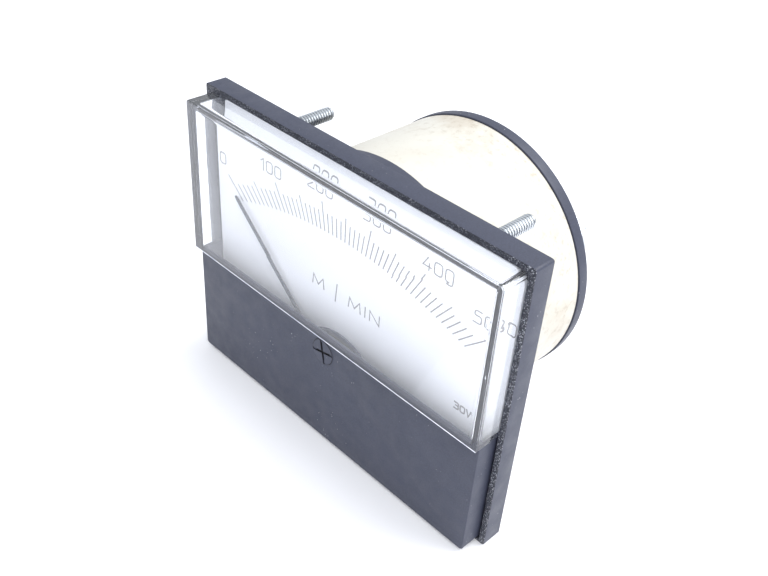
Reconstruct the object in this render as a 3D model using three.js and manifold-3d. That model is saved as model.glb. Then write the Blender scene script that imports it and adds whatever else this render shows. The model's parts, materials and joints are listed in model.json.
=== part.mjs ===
// Square-front analog panel meter: a black flange with a clear window box and a black lower cover,
// a moving-coil movement behind a white dial, and a round barrel that passes through the panel.
// Millimetres. +X is to the right, +Z is up, and the dial faces -Y.
// The origin is the middle of the object's footprint, level with the flange's bottom edge.
// Sizes and places below are measured from the centre of the flange's rear face, the face that bears
// on the panel, and the whole meter is moved onto its origin at the end.
import * as THREE from 'three';
import { mergeVertices } from 'three/addons/utils/BufferGeometryUtils.js';
import Module from 'manifold-3d';

const wasm = await Module();
wasm.setup();

// ---------- driving dimensions ----------
const BEZEL_WIDTH = 100;
const BEZEL_HEIGHT = 76.6;
const BEZEL_THICKNESS = 5.5;
const BEZEL_CORNER = 1.2;
const SIDE_BORDER = 1.6;            // flange seen beside the covers
const TOP_BORDER = 1.6;
const BOTTOM_BORDER = 0.7;
const FLOOR_THICKNESS = 2.4;        // flange behind the covers

const COVER_WALL = 2.3;
const CROWN_GAP = 0.15;             // front jewel screw to the inside of the lower cover
const WINDOW_PROUD = 1.7;           // window box in front of the lower cover
const COVER_CORNER = 0.9;
const LOWER_INSET = 0.3;            // lower cover is this much narrower at each side
const SPLIT_ABOVE_BOTTOM = 33.4;    // joint between the two covers, above the flange's bottom edge
const SPLIT_GAP = 0.1;
const COVER_CLEARANCE = 0.12;       // covers in the flange's pocket

const RING_ABOVE_WALL = 1.38;       // movement's ring above the lower cover's bottom wall

const COLLAR_RADIUS = 35.5;
const COLLAR_LENGTH = 7.2;
const COLLAR_WALL = 2.4;
const RING_WALL_GAP = 0.3;          // movement's ring to the collar's bore, at the bottom
const SLEEVE_STEP = 0.8;            // sleeve and rear cover are this much slimmer than the collar
const SLEEVE_WALL = 1.5;
const SLEEVE_LENGTH = 32;
const REAR_COVER_STEP = 0.5;
const REAR_COVER_THICKNESS = 3.4;
const SPIGOT_DEPTH = 2;
const MOUTH_LEDGE = 2.1;            // floor left inside the collar for the chassis to sit on
const STACK_GAP = 0.05;             // between pieces stacked along the barrel
const FIT_GAP = 0.2;                // around pieces that sit inside one another

const CHASSIS_THICKNESS = 1.2;
const DIAL_THICKNESS = 0.8;
const DIAL_STANDOFF = 0.8;
const DIAL_SIDE_GAP = 0.6;
const DIAL_BELOW_SPLIT = 11.1;
const DIAL_CORNER = 2;
const DIAL_SCREW_ABOVE_EDGE = 3.5;
const DIAL_PAD_RADIUS = 2.4;

const SCALE_HALF_ANGLE = 47;        // degrees each side of straight up
const POINTER_SIDE_INSET = 8.04;    // pointer's tip from the dial's side edge, at either end of the scale
const POINTER_TOP_INSET = 3;        // and at least this far below its top edge
const POINTER_WIDTH = 1.2;
const POINTER_THICKNESS = 0.4;
const POINTER_LIFT = 1.1;           // pointer's rear face above the dial's front face
const HUB_RADIUS = 1.7;
const HUB_THICKNESS = 0.4;
const ARM_WIDTH = 0.8;
const TAIL_LENGTH = 8.4;
const SIDE_ARM_LENGTH = 7;
const WEIGHT_RADIUS = 0.95;
const WEIGHT_BORE = 0.62;
const WEIGHT_LENGTH = 1.8;
const SHAFT_RADIUS = 0.5;
const SHAFT_CLEARANCE = 0.1;
const TIP_RADIUS = 0.2;
const TIP_CLEARANCE = 0.08;
const TIP_LENGTH = 0.6;
const PIVOT_FOOT_RADIUS = 1.4;
const PIVOT_FOOT_THICKNESS = 0.4;

const CORE_RADIUS = 6;
const CORE_LENGTH = 11.4;
const CORE_BEHIND_RING_FACE = 3.3;
const RING_BORE_RADIUS = 8.6;
const RING_RADIUS = 12.3;
const RING_LENGTH = 18;
const RING_PROUD_OF_DIAL = 0.3;
const RING_NOTCH_GAP = 0.5;         // around the ring where it passes the dial
const EAR_REACH = 5;
const EAR_HALF_HEIGHT = 2.6;
const EAR_THICKNESS = 2.5;
const FORMER_WALL = 0.3;
const FORMER_GAP = 0.5;             // core to former
const COIL_BUILD = 1;               // thickness of the winding
const COIL_HALF_WIDTH = 1.5;
const FORMER_HALF_WIDTH = 1.9;

const BRIDGE_THICKNESS = 0.7;
const BRIDGE_HALF_WIDTH = 2.5;
const BRIDGE_FOOT = 2.3;
const BRIDGE_EDGE = 0.7;            // bridge's end inside the ring's outer surface
const FRONT_BRIDGE_HEIGHT = 2.85;   // under each bridge, above the ring's face
const REAR_BRIDGE_HEIGHT = 3.45;
const JEWEL_RADIUS = 1.45;
const JEWEL_HEAD = 0.5;             // jewel screw proud of its bridge
const JEWEL_NOSE_RADIUS = 0.95;
const JEWEL_NOSE = 0.5;
const JEWEL_CUP = 0.6;
const STOP_RADIUS = 0.5;
const STOP_HEIGHT = 1.6;

const SPRING_INNER = 0.8;
const SPRING_OUTER = 5;
const SPRING_TURNS = 3.25;
const SPRING_STRIP = 0.14;
const SPRING_HEIGHT = 0.4;
const SPRING_TAB = 0.7;

const ADJUSTER_BELOW_SPLIT = 5.3;
const ADJUSTER_HEAD_RADIUS = 3.6;
const ADJUSTER_HEAD_HEIGHT = 0.65;
const ADJUSTER_SHANK_RADIUS = 2.4;
const ADJUSTER_CLEARANCE = 0.08;
const ADJUSTER_SLOT_WIDTH = 0.8;
const ADJUSTER_SLOT_SHARE = 0.93;       // of the head's radius
const ADJUSTER_SLOT_TURN = -12;        // degrees, the cross leans a little
const ADJUSTER_GROOVE_DEPTH = 0.4;     // for the spring clip
const ADJUSTER_SLOT_DEPTH = 0.4;
const CLIP_THICKNESS = 0.3;
const CLIP_WIDTH = 0.9;
const ECCENTRIC_OFFSET = 1.5;
const ECCENTRIC_RADIUS = 0.55;
const FORK_CLEARANCE = 0.2;
const FORK_WALL = 0.9;
const LEVER_THICKNESS = 0.35;
const LEVER_RING_RADIUS = 2.2;
const LEVER_ARM_WIDTH = 1.6;

const STUD_RADIUS = 1.75;
const STUD_LENGTH = 18;
const STUD_HEAD_RADIUS = 3;
const STUD_HEAD_THICKNESS = 1.1;
const STUD_FROM_SIDE = 18.5;
const STUD_FROM_EDGE = 7.7;

const POST_RADIUS = 2.8;
const POST_ANGLES = { top: 90, left: 192, right: -12 };
const POST_RIVET_RADIUS = 1.6;
const CASE_SCREW_RADIUS = 1.4;
const CASE_SCREW_HEAD = 2.8;
const CASE_SCREW_HEAD_HEIGHT = 1.6;
const CASE_SCREW_LENGTH = 14;
const SMALL_SCREW_RADIUS = 0.6;
const MOVEMENT_SCREW_RADIUS = 0.8;
const DIAL_SCREW_RADIUS = 0.9;
const SCREW_CLEARANCE = 0.1;

const TERMINAL_INSET = 4.9;         // terminal's axis inside the sleeve's bore
const TERMINAL_ANGLE = 28;          // degrees above the barrel's horizontal
const TERMINAL_RADIUS = 2.5;
const TERMINAL_REACH = 6.6;         // stud beyond the rear cover
const TERMINAL_HEAD_RADIUS = 4.1;
const TERMINAL_HEAD_THICKNESS = 2;
const NUT_ACROSS_FLATS = 8;
const NUT_HEIGHT = 4;
const WASHER_RADIUS = 5;
const WASHER_THICKNESS = 1;
const TAG_THICKNESS = 0.7;
const TAG_REACH = 10;
const TAG_WIDTH = 3;
const RESISTOR_RADIUS = 3;
const RESISTOR_LENGTH = 14;
const RESISTOR_LEAD_RADIUS = 0.4;
const RESISTOR_LEAD_LENGTH = 3;
const WIRE_RADIUS = 0.5;
const SOLDER_GAP = 0.3;

// ---------- places worked out from them ----------
const radians = THREE.MathUtils.degToRad;
const BOTTOM = -BEZEL_HEIGHT / 2;
const TOP = BEZEL_HEIGHT / 2;
const HALF_WIDTH = BEZEL_WIDTH / 2;
const FLOOR_FRONT = -FLOOR_THICKNESS;
const PIVOT_Z = BOTTOM + BOTTOM_BORDER + COVER_CLEARANCE + COVER_WALL + RING_ABOVE_WALL + RING_RADIUS;
const BORE_RADIUS = COLLAR_RADIUS - COLLAR_WALL;
const MOUTH_RADIUS = BORE_RADIUS - MOUTH_LEDGE;
const BARREL_Z = PIVOT_Z + BORE_RADIUS - RING_RADIUS - RING_WALL_GAP;
const SPLIT_Z = BOTTOM + SPLIT_ABOVE_BOTTOM;
const COVER_HALF = HALF_WIDTH - SIDE_BORDER - COVER_CLEARANCE;
const COVER_TOP = TOP - TOP_BORDER - COVER_CLEARANCE;
const COVER_BOTTOM = BOTTOM + BOTTOM_BORDER + COVER_CLEARANCE;
const COVER_REAR = FLOOR_FRONT - COVER_CLEARANCE;

const CHASSIS_REAR = FLOOR_FRONT + CHASSIS_THICKNESS;
const CHASSIS_RADIUS = BORE_RADIUS - FIT_GAP;
const DIAL_REAR = FLOOR_FRONT - DIAL_STANDOFF;
const DIAL_FRONT = DIAL_REAR - DIAL_THICKNESS;
const DIAL_EDGE_Z = SPLIT_Z - DIAL_BELOW_SPLIT;
const POST_CIRCLE = MOUTH_RADIUS - POST_RADIUS - FIT_GAP;
const POST_X = POST_CIRCLE * Math.cos(radians(POST_ANGLES.right));
const DIAL_SCREW_X = POST_X - POST_RADIUS - DIAL_PAD_RADIUS - FIT_GAP;
const DIAL_SCREW_Z = DIAL_EDGE_Z + DIAL_SCREW_ABOVE_EDGE;
const DIAL_HALF = COVER_HALF - COVER_WALL - DIAL_SIDE_GAP;
const DIAL_TOP = COVER_TOP - COVER_WALL - DIAL_SIDE_GAP / 2;
const POINTER_LENGTH = Math.min(
  (DIAL_HALF - POINTER_SIDE_INSET) / Math.sin(radians(SCALE_HALF_ANGLE)),
  DIAL_TOP - PIVOT_Z - POINTER_TOP_INSET,
);

const RING_FRONT = DIAL_FRONT - RING_PROUD_OF_DIAL;
const RING_REAR = RING_FRONT + RING_LENGTH;
const CORE_FRONT = RING_FRONT + CORE_BEHIND_RING_FACE;
const CORE_REAR = CORE_FRONT + CORE_LENGTH;
const FORMER_INNER = CORE_RADIUS + FORMER_GAP;
const FORMER_OUTER = FORMER_INNER + FORMER_WALL;
const COIL_INNER = FORMER_OUTER + STACK_GAP;
const COIL_OUTER = COIL_INNER + COIL_BUILD;
const COIL_FRONT = CORE_FRONT - (COIL_OUTER - CORE_RADIUS);
const COIL_REAR = CORE_REAR + (COIL_OUTER - CORE_RADIUS);

const POINTER_REAR = DIAL_FRONT - POINTER_LIFT;
const POINTER_FRONT = POINTER_REAR - POINTER_THICKNESS;
const HUB_FRONT = POINTER_REAR + STACK_GAP;
const HUB_REAR = HUB_FRONT + HUB_THICKNESS;
const HUB_MIDDLE = (HUB_FRONT + HUB_REAR) / 2;
const FRONT_BRIDGE_UNDER = RING_FRONT - FRONT_BRIDGE_HEIGHT;
const REAR_BRIDGE_UNDER = RING_REAR + REAR_BRIDGE_HEIGHT;
const LOWER_INNER_FACE = FRONT_BRIDGE_UNDER - BRIDGE_THICKNESS - JEWEL_HEAD - CROWN_GAP;
const LOWER_FRONT = COVER_WALL - LOWER_INNER_FACE;
const WINDOW_FRONT = LOWER_FRONT + WINDOW_PROUD;
const LEVER_FRONT = FRONT_BRIDGE_UNDER + STACK_GAP * 2;
const LEVER_REAR = LEVER_FRONT + LEVER_THICKNESS;
const EAR_FRONT = CHASSIS_REAR + STACK_GAP;
const EAR_SCREW_X = RING_RADIUS + EAR_REACH / 2;

const SLEEVE_RADIUS = COLLAR_RADIUS - SLEEVE_STEP;
const SLEEVE_BORE = SLEEVE_RADIUS - SLEEVE_WALL;
const REAR_COVER_RADIUS = COLLAR_RADIUS - REAR_COVER_STEP;
const SLEEVE_FRONT = COLLAR_LENGTH + STACK_GAP;
const SLEEVE_REAR = SLEEVE_FRONT + SLEEVE_LENGTH;
const REAR_COVER_FRONT = SLEEVE_REAR + STACK_GAP;
const REAR_FACE = REAR_COVER_FRONT + REAR_COVER_THICKNESS;
const SPIGOT_FRONT = REAR_COVER_FRONT - SPIGOT_DEPTH;
const POST_REAR = SPIGOT_FRONT - STACK_GAP;
const TERMINAL_CIRCLE = SLEEVE_BORE - TERMINAL_INSET;
const TERMINAL_X = TERMINAL_CIRCLE * Math.cos(radians(TERMINAL_ANGLE));
const TERMINAL_Z = BARREL_Z + TERMINAL_CIRCLE * Math.sin(radians(TERMINAL_ANGLE));
const TAG_REAR = SPIGOT_FRONT - STACK_GAP;
const TAG_FRONT = TAG_REAR - TAG_THICKNESS;
const ADJUSTER_Z = SPLIT_Z - ADJUSTER_BELOW_SPLIT;
const SIDES = { left: -1, right: 1 };

// ---------- shape helpers ----------
const FINE = 48;
const MEDIUM = 24;
const SMALL = 12;

// Merges shared vertices, drops collapsed triangles and turns the faces outward.
function welded(geometry) {
  const bare = new THREE.BufferGeometry();
  bare.setAttribute('position', geometry.getAttribute('position').clone());
  if (geometry.index) bare.setIndex(geometry.index.clone());
  const merged = mergeVertices(bare, 1e-5);
  const index = merged.index.array;
  const at = merged.getAttribute('position').array;
  const kept = [];
  let volume = 0;
  for (let i = 0; i < index.length; i += 3) {
    const [a, b, c] = [index[i], index[i + 1], index[i + 2]];
    if (a === b || b === c || a === c) continue;
    kept.push(a, b, c);
    const [p, q, r] = [a, b, c].map((k) => new THREE.Vector3().fromArray(at, 3 * k));
    volume += p.dot(q.cross(r));
  }
  if (volume < 0) kept.reverse();
  merged.setIndex(kept);
  return merged;
}

function toManifold(geometry) {
  const solid = welded(geometry);
  return new wasm.Manifold(new wasm.Mesh({
    numProp: 3,
    vertProperties: new Float32Array(solid.getAttribute('position').array),
    triVerts: new Uint32Array(solid.index.array),
  }));
}

function fromManifold(solid) {
  const mesh = solid.getMesh();
  const geometry = new THREE.BufferGeometry();
  const stride = mesh.numProp;
  const at = new Float32Array((mesh.vertProperties.length / stride) * 3);
  for (let i = 0; i < at.length / 3; i += 1) {
    for (let k = 0; k < 3; k += 1) at[3 * i + k] = mesh.vertProperties[stride * i + k];
  }
  geometry.setAttribute('position', new THREE.BufferAttribute(at, 3));
  geometry.setIndex([...mesh.triVerts]);
  return geometry;
}

// One base solid with others joined to it, then others cut away.
function carve(base, { add = [], cut = [] }) {
  let solid = toManifold(base);
  for (const piece of add) solid = solid.add(toManifold(piece));
  for (const piece of cut) solid = solid.subtract(toManifold(piece));
  return fromManifold(solid);
}

// A flat outline in X and Z made into a slab from yFront to yRear.
function slab(shape, yFront, yRear, curveSegments = SMALL) {
  const depth = yRear - yFront;
  const geometry = new THREE.ExtrudeGeometry(shape, { depth, bevelEnabled: false, curveSegments });
  geometry.rotateX(Math.PI / 2);
  geometry.translate(0, yRear, 0);
  return geometry;
}

function roundedOutline(x0, x1, z0, z1, radius) {
  const shape = new THREE.Shape();
  shape.absarc(x1 - radius, z0 + radius, radius, -Math.PI / 2, 0);
  shape.absarc(x1 - radius, z1 - radius, radius, 0, Math.PI / 2);
  shape.absarc(x0 + radius, z1 - radius, radius, Math.PI / 2, Math.PI);
  shape.absarc(x0 + radius, z0 + radius, radius, Math.PI, Math.PI * 1.5);
  return shape;
}

function roundedSlab(x0, x1, yFront, yRear, z0, z1, radius) {
  return slab(roundedOutline(x0, x1, z0, z1, radius), yFront, yRear, 4);
}

function block(x0, x1, y0, y1, z0, z1) {
  const geometry = new THREE.BoxGeometry(x1 - x0, y1 - y0, z1 - z0);
  geometry.translate((x0 + x1) / 2, (y0 + y1) / 2, (z0 + z1) / 2);
  return geometry;
}

// A turned piece about an axis along Y. The profile is [radius, y] and starts and ends on the axis.
function turned(profile, x = 0, z = 0, segments = SMALL) {
  const points = profile.map(([radius, y]) => new THREE.Vector2(radius, y));
  const geometry = new THREE.LatheGeometry(points, segments);
  geometry.translate(x, 0, z);
  return geometry;
}

function rod(radius, y0, y1, x = 0, z = 0, segments = SMALL) {
  return turned([[0, y0], [radius, y0], [radius, y1], [0, y1]], x, z, segments);
}

// A tube about an axis along Y, as a profile that closes on itself.
function tube(inner, outer, y0, y1, x = 0, z = 0, segments = FINE) {
  return turned([[inner, y0], [outer, y0], [outer, y1], [inner, y1], [inner, y0]], x, z, segments);
}

// A slotted screw along Y. `toward` is +1 when it is driven from the front, -1 from the rear.
function screw({ x, z, seat, toward, head, headHeight, shank, length }) {
  const y = (distance) => seat + toward * distance;
  const body = turned([
    [0, y(-headHeight)],
    [head * 0.8, y(-headHeight)],
    [head, y(-headHeight * 0.6)],
    [head, y(0)],
    [shank, y(0)],
    [shank, y(length - shank / 2)],
    [shank / 2, y(length)],
    [0, y(length)],
  ], x, z);
  const slotDepth = headHeight * 0.5;
  const [y0, y1] = [y(-headHeight * 2), y(slotDepth - headHeight)].sort((a, b) => a - b);
  const slot = block(x - head * 2, x + head * 2, y0, y1, z - head * 0.12, z + head * 0.12);
  return carve(body, { cut: [slot] });
}

function hexagon(acrossFlats) {
  const shape = new THREE.Shape();
  const radius = acrossFlats / Math.sqrt(3);
  for (let i = 0; i < 6; i += 1) {
    const angle = radians(60 * i + 30);
    shape[i === 0 ? 'moveTo' : 'lineTo'](radius * Math.cos(angle), radius * Math.sin(angle));
  }
  shape.closePath();
  return shape;
}

// A round wire along a curve through the points.
function wire(points, radius) {
  const outline = new THREE.Shape();
  outline.absarc(0, 0, radius, 0, Math.PI * 2);
  const path = new THREE.CatmullRomCurve3(points.map((point) => new THREE.Vector3(...point)));
  return new THREE.ExtrudeGeometry(outline, { steps: 14, extrudePath: path, curveSegments: 3 });
}

// ---------- materials ----------
const FINISHES = {
  blackCase: { color: 0x2b2c2f, roughness: 0.6, metalness: 0 },
  clear: { color: 0xeef4f8, roughness: 0.08, metalness: 0, transparent: true, opacity: 0.3 },
  cream: { color: 0xe9e2c9, roughness: 0.65, metalness: 0 },
  dialWhite: { color: 0xf3f3f0, roughness: 0.5, metalness: 0 },
  pointerGrey: { color: 0x7d828a, roughness: 0.5, metalness: 0.2 },
  zinc: { color: 0xb9bec2, roughness: 0.35, metalness: 0.9 },
  brass: { color: 0xb79a55, roughness: 0.35, metalness: 0.9 },
  aluminium: { color: 0xb4b7ba, roughness: 0.45, metalness: 0.8 },
  steel: { color: 0x6f7377, roughness: 0.4, metalness: 0.9 },
  magnet: { color: 0x4a4c50, roughness: 0.5, metalness: 0.7 },
  copper: { color: 0xa5562c, roughness: 0.4, metalness: 0.6 },
  bronze: { color: 0xa87b4a, roughness: 0.35, metalness: 0.9 },
  resistor: { color: 0x3f6c4f, roughness: 0.5, metalness: 0 },
  redWire: { color: 0xa02c24, roughness: 0.6, metalness: 0 },
};

const meter = new THREE.Group();

function place(name, geometry, finish, parent = meter) {
  const mesh = new THREE.Mesh(welded(geometry), new THREE.MeshStandardMaterial(FINISHES[finish]));
  mesh.name = name;
  parent.add(mesh);
  return mesh;
}

// ---------- flange, collar and covers ----------
const studPlaces = {
  top_left: [-1, TOP - STUD_FROM_EDGE],
  top_right: [1, TOP - STUD_FROM_EDGE],
  bottom_left: [-1, BOTTOM + STUD_FROM_EDGE],
  bottom_right: [1, BOTTOM + STUD_FROM_EDGE],
};
const studX = HALF_WIDTH - STUD_FROM_SIDE;

function baseFrame() {
  const flange = roundedSlab(-HALF_WIDTH, HALF_WIDTH, -BEZEL_THICKNESS, 0, BOTTOM, TOP, BEZEL_CORNER);
  const collar = tube(BORE_RADIUS, COLLAR_RADIUS, FLOOR_FRONT / 2, COLLAR_LENGTH, 0, BARREL_Z);
  const pocketHalf = COVER_HALF + COVER_CLEARANCE;
  const pocket = roundedSlab(-pocketHalf, pocketHalf, -BEZEL_THICKNESS - 1, FLOOR_FRONT,
    COVER_BOTTOM - COVER_CLEARANCE, COVER_TOP + COVER_CLEARANCE, COVER_CORNER);
  const mouth = rod(MOUTH_RADIUS, FLOOR_FRONT - 1, COLLAR_LENGTH, 0, BARREL_Z, FINE);
  const step = rod(BORE_RADIUS, FLOOR_FRONT - 1, CHASSIS_REAR, 0, BARREL_Z, FINE);
  const ringRoom = rod(RING_RADIUS + FIT_GAP, FLOOR_FRONT - 1, COLLAR_LENGTH, 0, PIVOT_Z, FINE);
  const cut = [pocket, mouth, step, ringRoom];
  for (const [side, z] of Object.values(studPlaces)) {
    cut.push(rod(STUD_RADIUS + SCREW_CLEARANCE, FLOOR_FRONT - 1, 1, side * studX, z));
    cut.push(rod(STUD_HEAD_RADIUS + SCREW_CLEARANCE, FLOOR_FRONT - 1,
      FLOOR_FRONT + STUD_HEAD_THICKNESS + STACK_GAP, side * studX, z));
  }
  return carve(flange, { add: [collar], cut });
}

function windowCover() {
  const bottom = SPLIT_Z + SPLIT_GAP / 2;
  const shell = roundedSlab(-COVER_HALF, COVER_HALF, -WINDOW_FRONT, COVER_REAR,
    bottom - COVER_CORNER, COVER_TOP, COVER_CORNER);
  const inside = COVER_HALF - COVER_WALL;
  const hollow = block(-inside, inside, -WINDOW_FRONT + COVER_WALL, 1,
    bottom - COVER_WALL, COVER_TOP - COVER_WALL);
  const below = block(-HALF_WIDTH, HALF_WIDTH, -WINDOW_FRONT - 1, 1, bottom - COVER_WALL, bottom);
  return carve(shell, { cut: [hollow, below] });
}

function lowerCover() {
  const top = SPLIT_Z - SPLIT_GAP / 2;
  const half = COVER_HALF - LOWER_INSET;
  const shell = roundedSlab(-half, half, -LOWER_FRONT, COVER_REAR,
    COVER_BOTTOM, top + COVER_CORNER, COVER_CORNER);
  const inside = half - COVER_WALL;
  const hollow = block(-inside, inside, LOWER_INNER_FACE, 1, COVER_BOTTOM + COVER_WALL, top + 2);
  const above = block(-HALF_WIDTH, HALF_WIDTH, -LOWER_FRONT - 1, 1, top, top + 2);
  const adjusterHole = rod(ADJUSTER_SHANK_RADIUS + ADJUSTER_CLEARANCE, -LOWER_FRONT - 1,
    LOWER_INNER_FACE + 1, 0, ADJUSTER_Z, MEDIUM);
  return carve(shell, { cut: [hollow, above, adjusterHole] });
}

place('base_frame', baseFrame(), 'blackCase');
place('window_cover', windowCover(), 'clear');
place('lower_cover', lowerCover(), 'blackCase');

for (const [corner, [side, z]] of Object.entries(studPlaces)) {
  const head = FLOOR_FRONT + STUD_HEAD_THICKNESS;
  const stud = turned([
    [0, FLOOR_FRONT],
    [STUD_HEAD_RADIUS, FLOOR_FRONT],
    [STUD_HEAD_RADIUS, head],
    [STUD_RADIUS, head],
    [STUD_RADIUS, STUD_LENGTH - STUD_RADIUS / 2],
    [STUD_RADIUS / 2, STUD_LENGTH],
    [0, STUD_LENGTH],
  ], side * studX, z);
  place(`stud_${corner}`, stud, 'zinc');
}

// ---------- zero adjuster ----------
// Its eccentric pin stands below its axis at rest and swings the fork of the zero lever.
const CLIP_FRONT = LOWER_INNER_FACE + STACK_GAP * 2;
const SHANK_END = CLIP_FRONT + CLIP_THICKNESS * 2;
const ECCENTRIC_END = LEVER_REAR + STACK_GAP * 2;
const ECCENTRIC_Z = ADJUSTER_Z - ECCENTRIC_OFFSET;

function zeroAdjuster() {
  const headRear = -LOWER_FRONT - STACK_GAP;
  const headFront = headRear - ADJUSTER_HEAD_HEIGHT;
  const body = turned([
    [0, headFront],
    [ADJUSTER_HEAD_RADIUS - ADJUSTER_HEAD_HEIGHT / 2, headFront],
    [ADJUSTER_HEAD_RADIUS, headFront + ADJUSTER_HEAD_HEIGHT / 2],
    [ADJUSTER_HEAD_RADIUS, headRear],
    [ADJUSTER_SHANK_RADIUS, headRear],
    [ADJUSTER_SHANK_RADIUS, SHANK_END],
    [0, SHANK_END],
  ], 0, ADJUSTER_Z, MEDIUM);
  const groove = tube(ADJUSTER_SHANK_RADIUS - ADJUSTER_GROOVE_DEPTH, ADJUSTER_SHANK_RADIUS + 1,
    CLIP_FRONT - STACK_GAP, CLIP_FRONT + CLIP_THICKNESS + STACK_GAP, 0, ADJUSTER_Z, MEDIUM);
  const pin = rod(ECCENTRIC_RADIUS, SHANK_END - 1, ECCENTRIC_END, 0, ECCENTRIC_Z, SMALL);
  const reach = ADJUSTER_HEAD_RADIUS * ADJUSTER_SLOT_SHARE;
  const half = ADJUSTER_SLOT_WIDTH / 2;
  const slotRear = headFront + ADJUSTER_SLOT_DEPTH;
  const slotAcross = block(-reach, reach, headFront - 1, slotRear, -half, half);
  const slotUp = block(-half, half, headFront - 1, slotRear, -reach, reach);
  const slots = [slotAcross, slotUp];
  for (const slot of slots) {
    slot.rotateY(radians(ADJUSTER_SLOT_TURN));
    slot.translate(0, 0, ADJUSTER_Z);
  }
  return carve(body, { add: [pin], cut: [groove, ...slots] });
}

// Open spring ring that holds the adjuster behind the cover.
function adjusterClip() {
  const inner = ADJUSTER_SHANK_RADIUS - ADJUSTER_GROOVE_DEPTH + STACK_GAP;
  const outer = ADJUSTER_SHANK_RADIUS + CLIP_WIDTH;
  const gap = 0.6;
  const shape = new THREE.Shape();
  shape.absarc(0, 0, outer, Math.PI / 2 + gap, Math.PI / 2 - gap + Math.PI * 2);
  shape.absarc(0, 0, inner, Math.PI / 2 - gap + Math.PI * 2, Math.PI / 2 + gap, true);
  const clip = slab(shape, CLIP_FRONT, CLIP_FRONT + CLIP_THICKNESS);
  clip.translate(0, 0, ADJUSTER_Z);
  return clip;
}

function zeroLever() {
  const pinAt = ECCENTRIC_Z - PIVOT_Z;
  const slotHalf = ECCENTRIC_RADIUS + FORK_CLEARANCE;
  const forkHalf = slotHalf + FORK_WALL;
  const slotBottom = pinAt - ECCENTRIC_RADIUS - 0.7;
  const forkTop = pinAt + ECCENTRIC_RADIUS + 1.1;
  const armHalf = LEVER_ARM_WIDTH / 2;
  const tabRadius = SPRING_OUTER + SPRING_TAB;
  const shape = new THREE.Shape();
  shape.moveTo(armHalf, -tabRadius);
  shape.lineTo(armHalf, -LEVER_RING_RADIUS);
  shape.absarc(0, 0, LEVER_RING_RADIUS, radians(-60), radians(60));
  shape.lineTo(armHalf, slotBottom - FORK_WALL);
  shape.lineTo(forkHalf, slotBottom);
  shape.lineTo(forkHalf, forkTop);
  shape.lineTo(slotHalf, forkTop);
  shape.lineTo(slotHalf, slotBottom);
  shape.lineTo(-slotHalf, slotBottom);
  shape.lineTo(-slotHalf, forkTop);
  shape.lineTo(-forkHalf, forkTop);
  shape.lineTo(-forkHalf, slotBottom);
  shape.lineTo(-armHalf, slotBottom - FORK_WALL);
  shape.absarc(0, 0, LEVER_RING_RADIUS, radians(120), radians(240));
  shape.lineTo(-armHalf, -tabRadius);
  const plate = slab(shape, LEVER_FRONT, LEVER_REAR);
  const tabRear = LEVER_REAR + SPRING_HEIGHT + STACK_GAP * 6;
  const tab = block(-armHalf, armHalf, LEVER_FRONT, tabRear, -tabRadius, -tabRadius + 0.4);
  const bore = rod(JEWEL_NOSE_RADIUS + SHAFT_CLEARANCE, LEVER_FRONT - 1, LEVER_REAR + 1);
  const lever = carve(plate, { add: [tab], cut: [bore] });
  lever.translate(0, 0, PIVOT_Z);
  return lever;
}

place('zero_adjuster', zeroAdjuster(), 'blackCase');
place('adjuster_clip', adjusterClip(), 'steel');
place('zero_lever', zeroLever(), 'bronze');

// ---------- chassis and dial ----------
const posts = Object.entries(POST_ANGLES).map(([where, angle]) => ({
  where,
  x: POST_CIRCLE * Math.cos(radians(angle)),
  z: BARREL_Z + POST_CIRCLE * Math.sin(radians(angle)),
}));

// Round plate in the barrel's mouth, open at the bottom so that the movement's ring drops in.
function chassisPlate() {
  const plate = rod(CHASSIS_RADIUS, FLOOR_FRONT, CHASSIS_REAR, 0, BARREL_Z, FINE);
  const room = RING_RADIUS + FIT_GAP;
  const y0 = FLOOR_FRONT - DIAL_STANDOFF - 1;
  const cut = [
    rod(room, y0, CHASSIS_REAR + 1, 0, PIVOT_Z, FINE),
    block(-room, room, y0, CHASSIS_REAR + 1, PIVOT_Z - CHASSIS_RADIUS, PIVOT_Z),
  ];
  for (const { x, z } of posts) {
    cut.push(rod(POST_RIVET_RADIUS + SCREW_CLEARANCE, y0, CHASSIS_REAR + 1, x, z));
  }
  const pads = [];
  for (const side of Object.values(SIDES)) {
    const padFront = DIAL_REAR + STACK_GAP;
    pads.push(rod(DIAL_PAD_RADIUS, padFront, FLOOR_FRONT + 0.5, side * DIAL_SCREW_X, DIAL_SCREW_Z));
    cut.push(rod(DIAL_SCREW_RADIUS + SCREW_CLEARANCE, y0, CHASSIS_REAR + 1,
      side * DIAL_SCREW_X, DIAL_SCREW_Z));
    cut.push(rod(MOVEMENT_SCREW_RADIUS + SCREW_CLEARANCE, y0, CHASSIS_REAR + 1,
      side * EAR_SCREW_X, PIVOT_Z));
  }
  return carve(plate, { add: pads, cut });
}

function dialPlate() {
  const plate = roundedSlab(-DIAL_HALF, DIAL_HALF, DIAL_FRONT, DIAL_REAR, DIAL_EDGE_Z, DIAL_TOP,
    DIAL_CORNER);
  const cut = [rod(RING_RADIUS + RING_NOTCH_GAP, DIAL_FRONT - 1, DIAL_REAR + 1, 0, PIVOT_Z, FINE)];
  for (const side of Object.values(SIDES)) {
    cut.push(rod(DIAL_SCREW_RADIUS + SCREW_CLEARANCE, DIAL_FRONT - 1, DIAL_REAR + 1,
      side * DIAL_SCREW_X, DIAL_SCREW_Z));
  }
  return carve(plate, { cut });
}

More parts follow.
